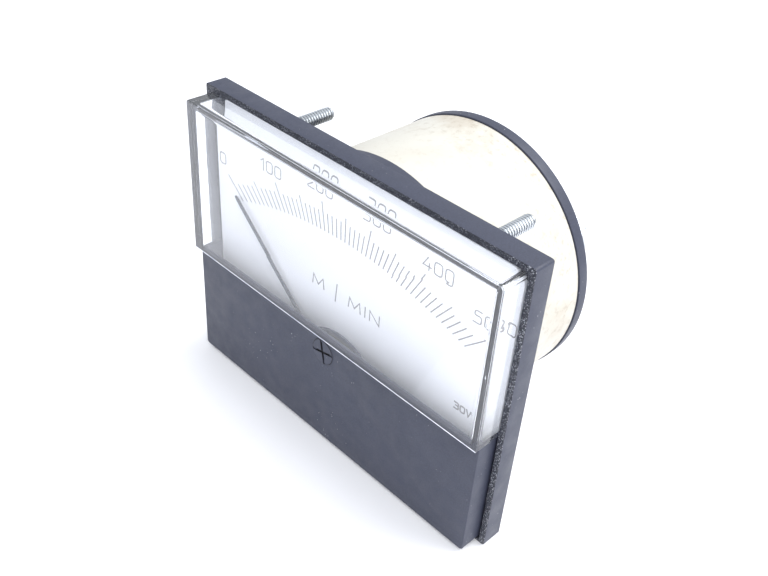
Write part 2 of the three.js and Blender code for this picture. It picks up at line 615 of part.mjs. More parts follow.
place('chassis_plate', chassisPlate(), 'aluminium');
place('dial_plate', dialPlate(), 'dialWhite');
for (const [name, side] of Object.entries(SIDES)) {
  place(`dial_screw_${name}`, screw({
    x: side * DIAL_SCREW_X,
    z: DIAL_SCREW_Z,
    seat: DIAL_FRONT - STACK_GAP,
    toward: 1,
    head: 1.8,
    headHeight: 0.7,
    shank: DIAL_SCREW_RADIUS,
    length: DIAL_THICKNESS + DIAL_STANDOFF + CHASSIS_THICKNESS + 1,
  }), 'zinc');
  place(`movement_screw_${name}`, screw({
    x: side * EAR_SCREW_X,
    z: PIVOT_Z,
    seat: FLOOR_FRONT - STACK_GAP,
    toward: 1,
    head: 1.6,
    headHeight: 0.8,
    shank: MOVEMENT_SCREW_RADIUS,
    length: CHASSIS_THICKNESS + EAR_THICKNESS + 1,
  }), 'zinc');
}

// ---------- fixed parts of the movement ----------
const BRIDGE_END = RING_RADIUS - BRIDGE_EDGE;
const BRIDGE_SCREW_X = BRIDGE_END - BRIDGE_FOOT / 2;

function returnRing() {
  const ring = tube(RING_BORE_RADIUS, RING_RADIUS, RING_FRONT, RING_REAR);
  const overlap = (RING_RADIUS - RING_BORE_RADIUS) / 2;
  const add = [];
  const cut = [];
  for (const side of Object.values(SIDES)) {
    const [x0, x1] = [side * (RING_RADIUS - overlap), side * (RING_RADIUS + EAR_REACH)].sort((a, b) => a - b);
    add.push(block(x0, x1, EAR_FRONT, EAR_FRONT + EAR_THICKNESS, -EAR_HALF_HEIGHT, EAR_HALF_HEIGHT));
    cut.push(rod(MOVEMENT_SCREW_RADIUS + SCREW_CLEARANCE, EAR_FRONT - 1, EAR_FRONT + EAR_THICKNESS + 1,
      side * EAR_SCREW_X, 0));
    cut.push(rod(SMALL_SCREW_RADIUS + SCREW_CLEARANCE, RING_FRONT - 1, RING_FRONT + 3,
      side * BRIDGE_SCREW_X, 0));
  }
  return carve(ring, { add, cut });
}

// U-shaped bridge over one end of the ring, carrying a jewel screw in its middle.
function bridge(ringFace, under, toward) {
  const outside = under + toward * BRIDGE_THICKNESS;
  const footFace = ringFace + toward * STACK_GAP;
  const span = (x0, x1, ya, yb) => {
    const [y0, y1] = [ya, yb].sort((a, b) => a - b);
    return block(x0, x1, y0, y1, -BRIDGE_HALF_WIDTH, BRIDGE_HALF_WIDTH);
  };
  const strip = span(-BRIDGE_END, BRIDGE_END, under, outside);
  const feet = [
    span(-BRIDGE_END, -BRIDGE_END + BRIDGE_FOOT, footFace, outside),
    span(BRIDGE_END - BRIDGE_FOOT, BRIDGE_END, footFace, outside),
  ];
  const [y0, y1] = [footFace - toward, outside + toward].sort((a, b) => a - b);
  const cut = [rod(JEWEL_RADIUS + STACK_GAP, y0, y1)];
  if (toward < 0) {
    for (const side of Object.values(SIDES)) {
      cut.push(rod(SMALL_SCREW_RADIUS + SCREW_CLEARANCE, y0, y1, side * BRIDGE_SCREW_X, 0));
    }
  }
  return { strip, feet, cut };
}

function frontBridge() {
  const { strip, feet, cut } = bridge(RING_FRONT, FRONT_BRIDGE_UNDER, -1);
  return carve(strip, { add: feet, cut });
}

// The rear bridge also holds a post for the outer end of the rear hairspring.
function rearBridge() {
  const { strip, feet, cut } = bridge(RING_REAR, REAR_BRIDGE_UNDER, 1);
  const radius = SPRING_OUTER + SPRING_TAB;
  const post = block(-radius, -radius + 0.5, REAR_SPRING_FRONT, REAR_BRIDGE_UNDER + 0.3, -0.6, 0.6);
  return carve(strip, { add: [...feet, post], cut });
}

// A jewel screw with a cup in its nose for the pivot's tip.
function jewelScrew(under, toward) {
  const y = (distance) => under + toward * distance;
  return turned([
    [0, y(BRIDGE_THICKNESS + JEWEL_HEAD)],
    [JEWEL_RADIUS, y(BRIDGE_THICKNESS + JEWEL_HEAD)],
    [JEWEL_RADIUS, y(STACK_GAP)],
    [JEWEL_NOSE_RADIUS, y(STACK_GAP)],
    [JEWEL_NOSE_RADIUS, y(-JEWEL_NOSE)],
    [TIP_RADIUS + TIP_CLEARANCE, y(-JEWEL_NOSE)],
    [TIP_RADIUS + TIP_CLEARANCE, y(JEWEL_CUP - JEWEL_NOSE)],
    [0, y(JEWEL_CUP - JEWEL_NOSE)],
  ]);
}

// Wedge that holds the core in the ring, in the sector that the coil never enters.
function coreSpacer(direction) {
  const half = radians(14);
  const middle = direction * Math.PI / 2;
  const shape = new THREE.Shape();
  shape.absarc(0, 0, RING_BORE_RADIUS - FIT_GAP / 2, middle - half, middle + half);
  shape.absarc(0, 0, CORE_RADIUS + FIT_GAP / 2, middle + half, middle - half, true);
  return slab(shape, CORE_FRONT + 1, CORE_REAR - 1);
}

const REAR_SPRING_FRONT = COIL_REAR + PIVOT_FOOT_THICKNESS + 1.8;
const fixedMovement = new THREE.Group();
fixedMovement.position.set(0, 0, PIVOT_Z);
meter.add(fixedMovement);

place('return_ring', returnRing(), 'steel', fixedMovement);
place('core_magnet', rod(CORE_RADIUS, CORE_FRONT, CORE_REAR, 0, 0, MEDIUM), 'magnet', fixedMovement);
place('core_spacer_top', coreSpacer(1), 'brass', fixedMovement);
place('core_spacer_bottom', coreSpacer(-1), 'brass', fixedMovement);
place('front_bridge', frontBridge(), 'brass', fixedMovement);
place('rear_bridge', rearBridge(), 'brass', fixedMovement);
place('front_jewel_screw', jewelScrew(FRONT_BRIDGE_UNDER, -1), 'zinc', fixedMovement);
place('rear_jewel_screw', jewelScrew(REAR_BRIDGE_UNDER, 1), 'zinc', fixedMovement);

const STOP_CIRCLE = (RING_RADIUS + RING_BORE_RADIUS) / 2;
const STOP_ANGLE = radians(SCALE_HALF_ANGLE)
  + (POINTER_WIDTH / 2 + STOP_RADIUS + FIT_GAP) / STOP_CIRCLE;
for (const [name, side] of Object.entries(SIDES)) {
  place(`front_bridge_screw_${name}`, screw({
    x: side * BRIDGE_SCREW_X,
    z: 0,
    seat: FRONT_BRIDGE_UNDER - BRIDGE_THICKNESS - STACK_GAP,
    toward: 1,
    head: 1.1,
    headHeight: 0.4,
    shank: SMALL_SCREW_RADIUS,
    length: BRIDGE_THICKNESS + FRONT_BRIDGE_HEIGHT + 2,
  }), 'zinc', fixedMovement);
  const stop = rod(STOP_RADIUS, RING_FRONT - STOP_HEIGHT, RING_FRONT - STACK_GAP,
    side * STOP_CIRCLE * Math.sin(STOP_ANGLE), STOP_CIRCLE * Math.cos(STOP_ANGLE), 12);
  place(`stop_pin_${name}`, stop, 'bronze', fixedMovement);
}

// ---------- moving parts: pointer, coil and pivots, resting at zero on the left ----------
const moving = new THREE.Group();
moving.position.set(0, 0, PIVOT_Z);
moving.rotation.y = -radians(SCALE_HALF_ANGLE);
meter.add(moving);
const shaftBore = () => rod(SHAFT_RADIUS + SHAFT_CLEARANCE, POINTER_FRONT - 1, HUB_REAR + 1);

function pointer() {
  const half = POINTER_WIDTH / 2;
  const shape = new THREE.Shape();
  shape.moveTo(half, 0);
  shape.lineTo(half, POINTER_LENGTH - half);
  shape.lineTo(half * 0.3, POINTER_LENGTH);
  shape.lineTo(-half * 0.3, POINTER_LENGTH);
  shape.lineTo(-half, POINTER_LENGTH - half);
  shape.lineTo(-half, 0);
  const blade = slab(shape, POINTER_FRONT, POINTER_REAR);
  const eye = rod(HUB_RADIUS, POINTER_FRONT, POINTER_REAR);
  return carve(blade, { add: [eye], cut: [shaftBore()] });
}

function pointerHub() {
  const half = ARM_WIDTH / 2;
  const disc = rod(HUB_RADIUS, HUB_FRONT, HUB_REAR);
  const tail = block(-half, half, HUB_FRONT, HUB_REAR, -TAIL_LENGTH, 0);
  const cross = block(-SIDE_ARM_LENGTH, SIDE_ARM_LENGTH, HUB_FRONT, HUB_REAR, -half, half);
  return carve(disc, { add: [tail, cross], cut: [shaftBore()] });
}

// A balance weight threaded on an arm. `turn` is the arm's direction about the pivot.
function balanceWeight(armLength, turn) {
  const end = armLength - 0.3;
  const weight = turned([
    [WEIGHT_BORE, end - WEIGHT_LENGTH],
    [WEIGHT_RADIUS, end - WEIGHT_LENGTH],
    [WEIGHT_RADIUS, end],
    [WEIGHT_BORE, end],
    [WEIGHT_BORE, end - WEIGHT_LENGTH],
  ], 0, 0, 16);
  weight.rotateX(Math.PI / 2);
  weight.translate(0, HUB_MIDDLE, 0);
  weight.rotateY(turn);
  return weight;
}

// A rectangular loop around the core, its long sides in the gap.
function loop(inner, outer, halfWidth) {
  const face = (reach) => reach - CORE_RADIUS;
  const shape = new THREE.Shape();
  const rectangle = (path, reach) => {
    path.moveTo(-reach, CORE_FRONT - face(reach));
    path.lineTo(reach, CORE_FRONT - face(reach));
    path.lineTo(reach, CORE_REAR + face(reach));
    path.lineTo(-reach, CORE_REAR + face(reach));
    path.closePath();
  };
  rectangle(shape, outer);
  const hole = new THREE.Path();
  rectangle(hole, inner);
  shape.holes.push(hole);
  const geometry = new THREE.ExtrudeGeometry(shape, { depth: halfWidth * 2, bevelEnabled: false });
  geometry.translate(0, 0, -halfWidth);
  return geometry;
}

// Half shaft cemented to one end of the coil, ground to a fine tip.
function pivot(coilFace, jewelUnder, toward) {
  const foot = coilFace + toward * STACK_GAP;
  const footEnd = foot + toward * PIVOT_FOOT_THICKNESS;
  const nose = jewelUnder - toward * JEWEL_NOSE;
  const shoulder = nose - toward * (TIP_LENGTH - JEWEL_CUP / 2);
  const tip = shoulder + toward * TIP_LENGTH;
  return turned([
    [0, foot],
    [PIVOT_FOOT_RADIUS, foot],
    [PIVOT_FOOT_RADIUS, footEnd],
    [SHAFT_RADIUS, footEnd],
    [SHAFT_RADIUS, shoulder],
    [TIP_RADIUS, shoulder],
    [TIP_RADIUS, tip - toward * TIP_RADIUS / 2],
    [TIP_RADIUS / 2, tip],
    [0, tip],
  ]);
}

// Flat spiral strip whose inner end meets the shaft and whose outer end points along `outerAngle`.
function hairspring(yFront, outerAngle) {
  const steps = Math.round(SPRING_TURNS * 16);
  const turnRate = Math.PI * 2 * SPRING_TURNS;
  const pointAt = (t, offset) => {
    const radius = SPRING_INNER + (SPRING_OUTER - SPRING_INNER) * t + offset;
    const angle = outerAngle + turnRate * (t - 1);
    return new THREE.Vector2(radius * Math.cos(angle), radius * Math.sin(angle));
  };
  const along = Array.from({ length: steps + 1 }, (_, i) => i / steps);
  const outerEdge = along.map((t) => pointAt(t, SPRING_STRIP / 2));
  const innerEdge = along.map((t) => pointAt(t, -SPRING_STRIP / 2)).reverse();
  return slab(new THREE.Shape([...outerEdge, ...innerEdge]), yFront, yFront + SPRING_HEIGHT);
}

place('pointer', pointer(), 'pointerGrey', moving);
place('pointer_hub', pointerHub(), 'aluminium', moving);
place('balance_weight_tail', balanceWeight(TAIL_LENGTH, Math.PI), 'brass', moving);
place('balance_weight_left', balanceWeight(SIDE_ARM_LENGTH, -Math.PI / 2), 'brass', moving);
place('balance_weight_right', balanceWeight(SIDE_ARM_LENGTH, Math.PI / 2), 'brass', moving);
place('coil_former', loop(FORMER_INNER, FORMER_OUTER, FORMER_HALF_WIDTH), 'aluminium', moving);
place('moving_coil', loop(COIL_INNER, COIL_OUTER, COIL_HALF_WIDTH), 'copper', moving);
place('front_pivot', pivot(COIL_FRONT, FRONT_BRIDGE_UNDER, -1), 'steel', moving);
place('rear_pivot', pivot(COIL_REAR, REAR_BRIDGE_UNDER, 1), 'steel', moving);

// The springs' outer ends meet the lever's tab and the rear bridge's post while the pointer rests at
// zero, so their angles take the moving group's turn back out.
const restTurn = radians(SCALE_HALF_ANGLE);
place('front_hairspring', hairspring(LEVER_REAR + STACK_GAP * 6, -Math.PI / 2 - restTurn), 'bronze', moving);
place('rear_hairspring', hairspring(REAR_SPRING_FRONT, Math.PI - restTurn), 'bronze', moving);

// ---------- barrel ----------
const terminals = Object.entries(SIDES).map(([name, side]) => ({ name, side, x: side * TERMINAL_X }));

function rearCover() {
  const body = turned([
    [0, SPIGOT_FRONT],
    [SLEEVE_BORE - FIT_GAP, SPIGOT_FRONT],
    [SLEEVE_BORE - FIT_GAP, REAR_COVER_FRONT],
    [REAR_COVER_RADIUS, REAR_COVER_FRONT],
    [REAR_COVER_RADIUS, REAR_FACE - 0.5],
    [REAR_COVER_RADIUS - 0.5, REAR_FACE],
    [0, REAR_FACE],
  ], 0, BARREL_Z, FINE);
  const cut = [];
  for (const { x } of terminals) {
    cut.push(rod(TERMINAL_RADIUS + SCREW_CLEARANCE, SPIGOT_FRONT - 1, REAR_FACE + 1, x, TERMINAL_Z));
  }
  for (const { x, z } of posts) {
    cut.push(rod(CASE_SCREW_RADIUS + SCREW_CLEARANCE, SPIGOT_FRONT - 1, REAR_FACE + 1, x, z));
  }
  return carve(body, { cut });
}

place('barrel_sleeve',
  tube(SLEEVE_BORE, SLEEVE_RADIUS, SLEEVE_FRONT, SLEEVE_REAR, 0, BARREL_Z), 'cream');
place('rear_cover', rearCover(), 'blackCase');

// Posts tie the chassis to the rear cover, so that flange, sleeve and cover are clamped together.
for (const { where, x, z } of posts) {
  const shoulder = CHASSIS_REAR + STACK_GAP;
  const post = turned([
    [0, FLOOR_FRONT],
    [POST_RIVET_RADIUS, FLOOR_FRONT],
    [POST_RIVET_RADIUS, shoulder],
    [POST_RADIUS, shoulder],
    [POST_RADIUS, POST_REAR],
    [0, POST_REAR],
  ], x, z);
  const threadHole = rod(CASE_SCREW_RADIUS + SCREW_CLEARANCE, POST_REAR - CASE_SCREW_LENGTH,
    POST_REAR + 1, x, z);
  place(`case_post_${where}`, carve(post, { cut: [threadHole] }), 'brass');
  place(`case_screw_${where}`, screw({
    x,
    z,
    seat: REAR_FACE + STACK_GAP,
    toward: -1,
    head: CASE_SCREW_HEAD,
    headHeight: CASE_SCREW_HEAD_HEIGHT,
    shank: CASE_SCREW_RADIUS,
    length: CASE_SCREW_LENGTH,
  }), 'zinc');
}

// ---------- terminals and wiring ----------
function terminalNut(x) {
  const front = REAR_FACE + WASHER_THICKNESS + STACK_GAP * 2;
  const nut = slab(hexagon(NUT_ACROSS_FLATS), front, front + NUT_HEIGHT);
  const bore = rod(TERMINAL_RADIUS + SCREW_CLEARANCE, front - 1, front + NUT_HEIGHT + 1);
  const bored = carve(nut, { cut: [bore] });
  bored.translate(x, 0, TERMINAL_Z);
  return bored;
}

function solderTag(side) {
  const ring = rod(WASHER_RADIUS - 1, TAG_FRONT, TAG_REAR);
  const half = TAG_WIDTH / 2;
  const [x0, x1] = [0, -side * TAG_REACH].sort((a, b) => a - b);
  const lug = block(x0, x1, TAG_FRONT, TAG_REAR, -half, half);
  const cut = [
    rod(TERMINAL_RADIUS + SCREW_CLEARANCE, TAG_FRONT - 1, TAG_REAR + 1),
    rod(half / 2, TAG_FRONT - 1, TAG_REAR + 1, -side * (TAG_REACH - half), 0),
  ];
  const tag = carve(ring, { add: [lug], cut });
  tag.translate(side * TERMINAL_X, 0, TERMINAL_Z);
  return tag;
}

for (const { name, side, x } of terminals) {
  const headRear = TAG_FRONT - STACK_GAP;
  const end = REAR_FACE + TERMINAL_REACH;
  const stud = turned([
    [0, headRear - TERMINAL_HEAD_THICKNESS],
    [TERMINAL_HEAD_RADIUS, headRear - TERMINAL_HEAD_THICKNESS],
    [TERMINAL_HEAD_RADIUS, headRear],
    [TERMINAL_RADIUS, headRear],
    [TERMINAL_RADIUS, end - TERMINAL_RADIUS / 3],
    [TERMINAL_RADIUS * 0.7, end],
    [0, end],
  ], x, TERMINAL_Z);
  place(`terminal_stud_${name}`, stud, 'zinc');
  place(`solder_tag_${name}`, solderTag(side), 'brass');
  const washerFront = REAR_FACE + STACK_GAP;
  place(`terminal_washer_${name}`, tube(TERMINAL_RADIUS + SCREW_CLEARANCE, WASHER_RADIUS, washerFront,
    washerFront + WASHER_THICKNESS, x, TERMINAL_Z, MEDIUM), 'zinc');
  place(`terminal_nut_${name}`, terminalNut(x), 'zinc');
}

// The multiplier resistor lies across the barrel in front of the tags.
const RESISTOR_Y = TAG_FRONT - RESISTOR_RADIUS - 2.5;
const resistor = turned([
  [0, -RESISTOR_LENGTH / 2 - RESISTOR_LEAD_LENGTH],
  [RESISTOR_LEAD_RADIUS, -RESISTOR_LENGTH / 2 - RESISTOR_LEAD_LENGTH],
  [RESISTOR_LEAD_RADIUS, -RESISTOR_LENGTH / 2],
  [RESISTOR_RADIUS, -RESISTOR_LENGTH / 2],
  [RESISTOR_RADIUS, RESISTOR_LENGTH / 2],
  [RESISTOR_LEAD_RADIUS, RESISTOR_LENGTH / 2],
  [RESISTOR_LEAD_RADIUS, RESISTOR_LENGTH / 2 + RESISTOR_LEAD_LENGTH],
  [0, RESISTOR_LENGTH / 2 + RESISTOR_LEAD_LENGTH],
]);
resistor.rotateZ(Math.PI / 2);
resistor.translate(0, RESISTOR_Y, TERMINAL_Z);
place('multiplier_resistor', resistor, 'resistor');

// Wires end just short of what they are soldered to.
const tagHole = TERMINAL_X - TAG_REACH + TAG_WIDTH / 2;
const resistorEnd = RESISTOR_LENGTH / 2 + RESISTOR_LEAD_LENGTH;
const leadY = TAG_FRONT - WIRE_RADIUS - SOLDER_GAP;
const earRear = EAR_FRONT + EAR_THICKNESS;
const bridgeLeadX = resistorEnd + 3;
const ringLeadX = (bridgeLeadX + POST_X - POST_RADIUS) / 2;
place('resistor_lead', wire([
  [-tagHole, leadY, TERMINAL_Z],
  [-(tagHole + resistorEnd) / 2, (leadY + RESISTOR_Y) / 2 - 1, TERMINAL_Z],
  [-resistorEnd - WIRE_RADIUS - SOLDER_GAP, RESISTOR_Y, TERMINAL_Z],
], WIRE_RADIUS), 'redWire');
place('bridge_lead', wire([
  [resistorEnd + WIRE_RADIUS + SOLDER_GAP, RESISTOR_Y, TERMINAL_Z],
  [bridgeLeadX, RESISTOR_Y - 4, TERMINAL_Z - 9],
  [BRIDGE_END + 1.5, RING_REAR + 9, BARREL_Z - 6],
  [BRIDGE_END + WIRE_RADIUS + SOLDER_GAP, RING_REAR + 2, PIVOT_Z + 1.5],
], WIRE_RADIUS), 'redWire');
place('ring_lead', wire([
  [tagHole, leadY, TERMINAL_Z],
  [ringLeadX, leadY - 8, TERMINAL_Z - 9],
  [ringLeadX, earRear + 9, BARREL_Z - 8],
  [EAR_SCREW_X, earRear + WIRE_RADIUS + SOLDER_GAP, PIVOT_Z + EAR_HALF_HEIGHT - WIRE_RADIUS],
], WIRE_RADIUS), 'redWire');

// ---------- onto the origin ----------
const terminalEnd = REAR_FACE + TERMINAL_REACH;
meter.position.set(0, (WINDOW_FRONT - terminalEnd) / 2, -BOTTOM);

export default meter;
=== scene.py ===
import json
import math

import bmesh
import bpy
from mathutils import Matrix, Vector


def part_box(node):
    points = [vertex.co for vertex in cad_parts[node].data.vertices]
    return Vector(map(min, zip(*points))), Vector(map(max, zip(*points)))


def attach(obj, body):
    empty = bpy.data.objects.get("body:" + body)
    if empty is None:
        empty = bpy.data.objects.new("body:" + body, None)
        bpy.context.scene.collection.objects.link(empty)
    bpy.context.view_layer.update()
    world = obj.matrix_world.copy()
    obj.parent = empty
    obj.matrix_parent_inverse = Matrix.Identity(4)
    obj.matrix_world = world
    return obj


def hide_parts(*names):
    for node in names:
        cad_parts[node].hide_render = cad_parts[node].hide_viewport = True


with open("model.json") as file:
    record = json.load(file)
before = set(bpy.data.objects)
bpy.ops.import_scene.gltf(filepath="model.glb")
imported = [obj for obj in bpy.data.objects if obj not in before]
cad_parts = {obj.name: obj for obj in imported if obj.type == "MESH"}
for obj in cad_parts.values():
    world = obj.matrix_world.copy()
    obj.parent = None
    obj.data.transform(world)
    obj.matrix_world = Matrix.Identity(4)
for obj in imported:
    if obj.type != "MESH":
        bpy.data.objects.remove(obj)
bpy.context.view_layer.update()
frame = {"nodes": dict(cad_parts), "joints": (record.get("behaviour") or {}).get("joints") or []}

bl_info = {
    "name": "Panel meter",
    "version": (1, 0, 0),
    "blender": (4, 5, 0),
    "location": "View3D > Sidebar > Panel meter",
    "description": "Builds a moving-coil panel meter piece by piece around its packed frame",
    "category": "Add Mesh",
}

MM = 0.001
WELD = 1e-7
LARGE_CIRCLE = 96
SMALL_CIRCLE = 24

# ---------- places taken from the frame ----------
FLANGE_LO, FLANGE_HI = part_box("base_frame")
WINDOW_LO, WINDOW_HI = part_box("window_cover")
LOWER_LO, LOWER_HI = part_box("lower_cover")
SLEEVE_LO, SLEEVE_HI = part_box("barrel_sleeve")
REAR_LO, REAR_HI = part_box("rear_cover")
DIAL_LO, DIAL_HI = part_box("dial_plate")
RING_LO, RING_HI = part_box("return_ring")
CHASSIS_LO, CHASSIS_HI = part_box("chassis_plate")
ADJUSTER_LO, ADJUSTER_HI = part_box("zero_adjuster")
POINTER_LO, POINTER_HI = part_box("pointer")
BARREL_Z = (SLEEVE_LO.z + SLEEVE_HI.z) / 2
SLEEVE_RADIUS = (SLEEVE_HI.x - SLEEVE_LO.x) / 2
COLLAR_RADIUS = SLEEVE_RADIUS + 0.8 * MM
RING_RADIUS = (RING_HI.z - RING_LO.z) / 2
JOINTS = {joint["name"]: joint for joint in frame["joints"]}
PIVOT = Vector(JOINTS["pointer_swing"]["pos_m"])
ADJUSTER_Z = JOINTS["adjuster_turn"]["pos_m"][2]
SWING = math.radians(JOINTS["pointer_swing"]["range_deg"][1])
DIAL_CENTRE_Z = (FLANGE_LO.z + FLANGE_HI.z) / 2
SIDES = ("left", "right")
SCREW_PLACES = ("top", "left", "right")
STUD_CORNERS = ("top_left", "top_right", "bottom_left", "bottom_right")


def centre_of(node):
    """The box of a node and the X and Z of its middle."""
    lo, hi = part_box(node)
    return lo, hi, (lo.x + hi.x) / 2, (lo.z + hi.z) / 2


# ---------- settings ----------
def length(name, about, default):
    return bpy.props.FloatProperty(
        name=name, description=about, default=default, precision=5, unit="LENGTH")


def tint(name, about, default):
    return bpy.props.FloatVectorProperty(
        name=name, description=about, default=default, size=3, min=0.0, max=1.0,
        subtype="COLOR")


class CaseSettings(bpy.types.PropertyGroup):
    flange_thickness: length("Flange thickness", "Depth of the square flange", 5.5 * MM)
    floor_thickness: length("Floor thickness", "Flange left behind the covers", 2.4 * MM)
    corner: length("Flange corner", "Corner radius of the flange", 0.7 * MM)
    side_border: length("Side border", "Flange seen beside the covers", 1.48 * MM)
    bottom_border: length("Bottom border", "Flange seen below the covers", 0.7 * MM)
    cover_gap: length("Cover gap", "Play between the flange and the covers", 0.12 * MM)
    edge: length("Edge rounding", "Rounding of the moulded edges", 0.22 * MM)
    collar_wall: length("Collar wall", "Wall of the collar behind the flange", 2.4 * MM)
    mouth: length("Mouth radius", "Opening through the floor of the flange", 31 * MM)
    cover_wall: length("Cover wall", "Wall of the window box and of the lower cover", 2.3 * MM)
    cover_corner: length("Cover corner", "Corner radius of both covers", 0.9 * MM)
    inner_fillet: length("Inner fillet", "Fillet along the inside edges of the window", 0.55 * MM)


class DialSettings(bpy.types.PropertyGroup):
    corner: length("Dial corner", "Corner radius of the dial plate", 2 * MM)
    notch_gap: length("Notch gap", "Room around the movement's ring", 0.5 * MM)
    baseline_radius: length("Baseline radius", "Radius of the arc the marks stand on", 107 * MM)
    baseline_top: length("Baseline height", "Top of that arc above the dial's middle", 18.5 * MM)
    long_mark: length("Long mark", "Length of the mark at each hundred", 7.1 * MM)
    middle_mark: length("Middle mark", "Length of the mark at each fifty", 6.0 * MM)
    short_mark: length("Short mark", "Length of the other marks", 4.6 * MM)
    stroke: length("Stroke", "Line width of the print", 0.3 * MM)
    numeral: length("Numeral height", "Height of the numbers", 2.95 * MM)
    unit_height: length("Unit height", "Height of the letters of the unit", 2.8 * MM)
    unit_gap: length("Unit gap", "Gap between the letters of the unit", 1.5 * MM)
    shield_radius: length("Shield radius", "Dark ring round the movement", 13.8 * MM)
    print_height: length("Print thickness", "How far the ink stands on the dial", 0.02 * MM)


class HardwareSettings(bpy.types.PropertyGroup):
    stud_pitch: length("Stud pitch", "Thread pitch of the mounting studs", 0.8 * MM)
    terminal_pitch: length("Terminal pitch", "Thread pitch of the terminals", 0.8 * MM)
    nut_flats: length("Nut across flats", "Width of the terminal nuts", 8 * MM)
    slot_width: length("Slot width", "Screwdriver slot of the case screws", 0.8 * MM)


class ColourSettings(bpy.types.PropertyGroup):
    case_black: tint("Case", "Moulded flange and covers", (0.034, 0.039, 0.064))
    cream: tint("Sleeve", "Paint on the barrel", (0.575, 0.56, 0.505))
    stain: tint("Stain", "Old stains on the barrel", (0.34, 0.26, 0.17))
    dial_white: tint("Dial", "Paint on the dial", (0.92, 0.92, 0.93))
    ink: tint("Ink", "Print on the dial", (0.18, 0.17, 0.165))
    pointer_grey: tint("Pointer", "Paint on the pointer", (0.045, 0.05, 0.07))
    zinc: tint("Zinc", "Plated studs, nuts and washers", (0.72, 0.76, 0.80))
    floor_white: tint("Floor", "Studio floor", (0.93, 0.93, 0.95))


GROUPS = {
    "meter_case": CaseSettings,
    "meter_dial": DialSettings,
    "meter_hardware": HardwareSettings,
    "meter_colours": ColourSettings,
}


# ---------- flat outlines, in X and Z ----------
def soften(points, radius, closed=True, cuts=4):
    """The same outline with each corner rounded off."""
    count = len(points)
    out = []
    for i, point in enumerate(points):
        here = Vector(point)
        if not closed and i in (0, count - 1):
            out.append(tuple(here))
            continue
        before = Vector(points[i - 1]) - here
        after = Vector(points[(i + 1) % count]) - here
        reach = min(radius, before.length * 0.49, after.length * 0.49)
        start = here + before.normalized() * reach
        end = here + after.normalized() * reach
        for k in range(cuts + 1):
            t = k / cuts
            out.append(tuple(start * (1 - t) ** 2 + here * 2 * t * (1 - t) + end * t ** 2))
    return out


def rounded(x0, x1, z0, z1, radius, cuts=5):
    """A rectangle with round corners."""
    out = []
    corners = ((x1, z0, -90), (x1, z1, 0), (x0, z1, 90), (x0, z0, 180))
    for x, z, start in corners:
        cx = x + (radius if x == x0 else -radius)
        cz = z + (radius if z == z0 else -radius)
        for k in range(cuts + 1):
            a = math.radians(start + 90 * k / cuts)
            out.append((cx + radius * math.cos(a), cz + radius * math.sin(a)))
    return out


# ---------- solids ----------
def ring_solid(rings, loop=False):
    """A closed skin over rings of points that all have the same count."""
    bm = bmesh.new()
    made = [[bm.verts.new(p) for p in ring] for ring in rings]
    count = len(made[0])
    pairs = list(zip(made, made[1:]))
    if loop:
        pairs.append((made[-1], made[0]))
    for a, b in pairs:
        for i in range(count):
            j = (i + 1) % count
            bm.faces.new((a[i], a[j], b[j], b[i]))
    if not loop:
        bm.faces.new(made[0])
        bm.faces.new(made[-1])
    bmesh.ops.recalc_face_normals(bm, faces=bm.faces)
    return bm


def prism(outline, y0, y1):
    """A flat outline made into a slab from y0 to y1."""
    return ring_solid([[(x, y, z) for x, z in outline] for y in (y0, y1)])


def block(x0, x1, y0, y1, z0, z1):
    return prism([(x0, z0), (x1, z0), (x1, z1), (x0, z1)], y0, y1)


def turned(profile, x=0.0, z=0.0, steps=64, loop=False):
    """A profile of (radius, y) pairs turned about an axis along Y."""
    rings = []
    for radius, y in profile:
        rings.append([
            (x + radius * math.cos(2 * math.pi * i / steps), y,
             z + radius * math.sin(2 * math.pi * i / steps))
            for i in range(steps)])
    return ring_solid(rings, loop)


def rod(radius, y0, y1, x=0.0, z=0.0, steps=48):
    return turned([(radius, y0), (radius, y1)], x, z, steps)


def pipe(inner, outer, y0, y1, x=0.0, z=0.0, edge=0.2 * MM, steps=64):
    """A round tube with its rims rounded."""
    profile = soften([(inner, y0), (outer, y0), (outer, y1), (inner, y1)], edge, cuts=3)
    return turned(profile, x, z, steps, loop=True)


def thread_radius(radius, pitch, depth, along, angle):
    """Radius of a vee thread at one distance along it and one angle."""
    phase = (along / pitch - angle / (2 * math.pi)) % 1.0
    flank = abs(phase * 2 - 1)
    crest = 0.12
    return radius - depth * min(1.0, max(0.0, (flank - crest) / (1 - 2 * crest)))


def paint_root_shade(bm, x, z, below, after):
    """Gives the faces at the bottom of a thread the second finish, a darker metal that is painted
    shade in the roots.
    """
    flat_end = 0.95
    for face in bm.faces:
        c = face.calc_center_median()
        near = math.hypot(c.x - x, c.z - z) < below
        if c.y > after and near and abs(face.normal.y) < flat_end:
            face.material_index = 1


def turn_and_move(bm, angle, to):
    """Turns a shape about the Y axis, then moves it."""
    bmesh.ops.rotate(bm, verts=bm.verts, cent=(0, 0, 0), matrix=Matrix.Rotation(angle, 3, "Y"))
    bmesh.ops.translate(bm, verts=bm.verts, vec=to)


def stud_head(head, y, chamfer, thick, shank):
    """Profile of a round head with chamfered rims, and the start of its shank."""
    under = y + thick
    return [(head - chamfer, y), (head, y + chamfer), (head, under - chamfer),
            (head - chamfer, under), (shank, under)]


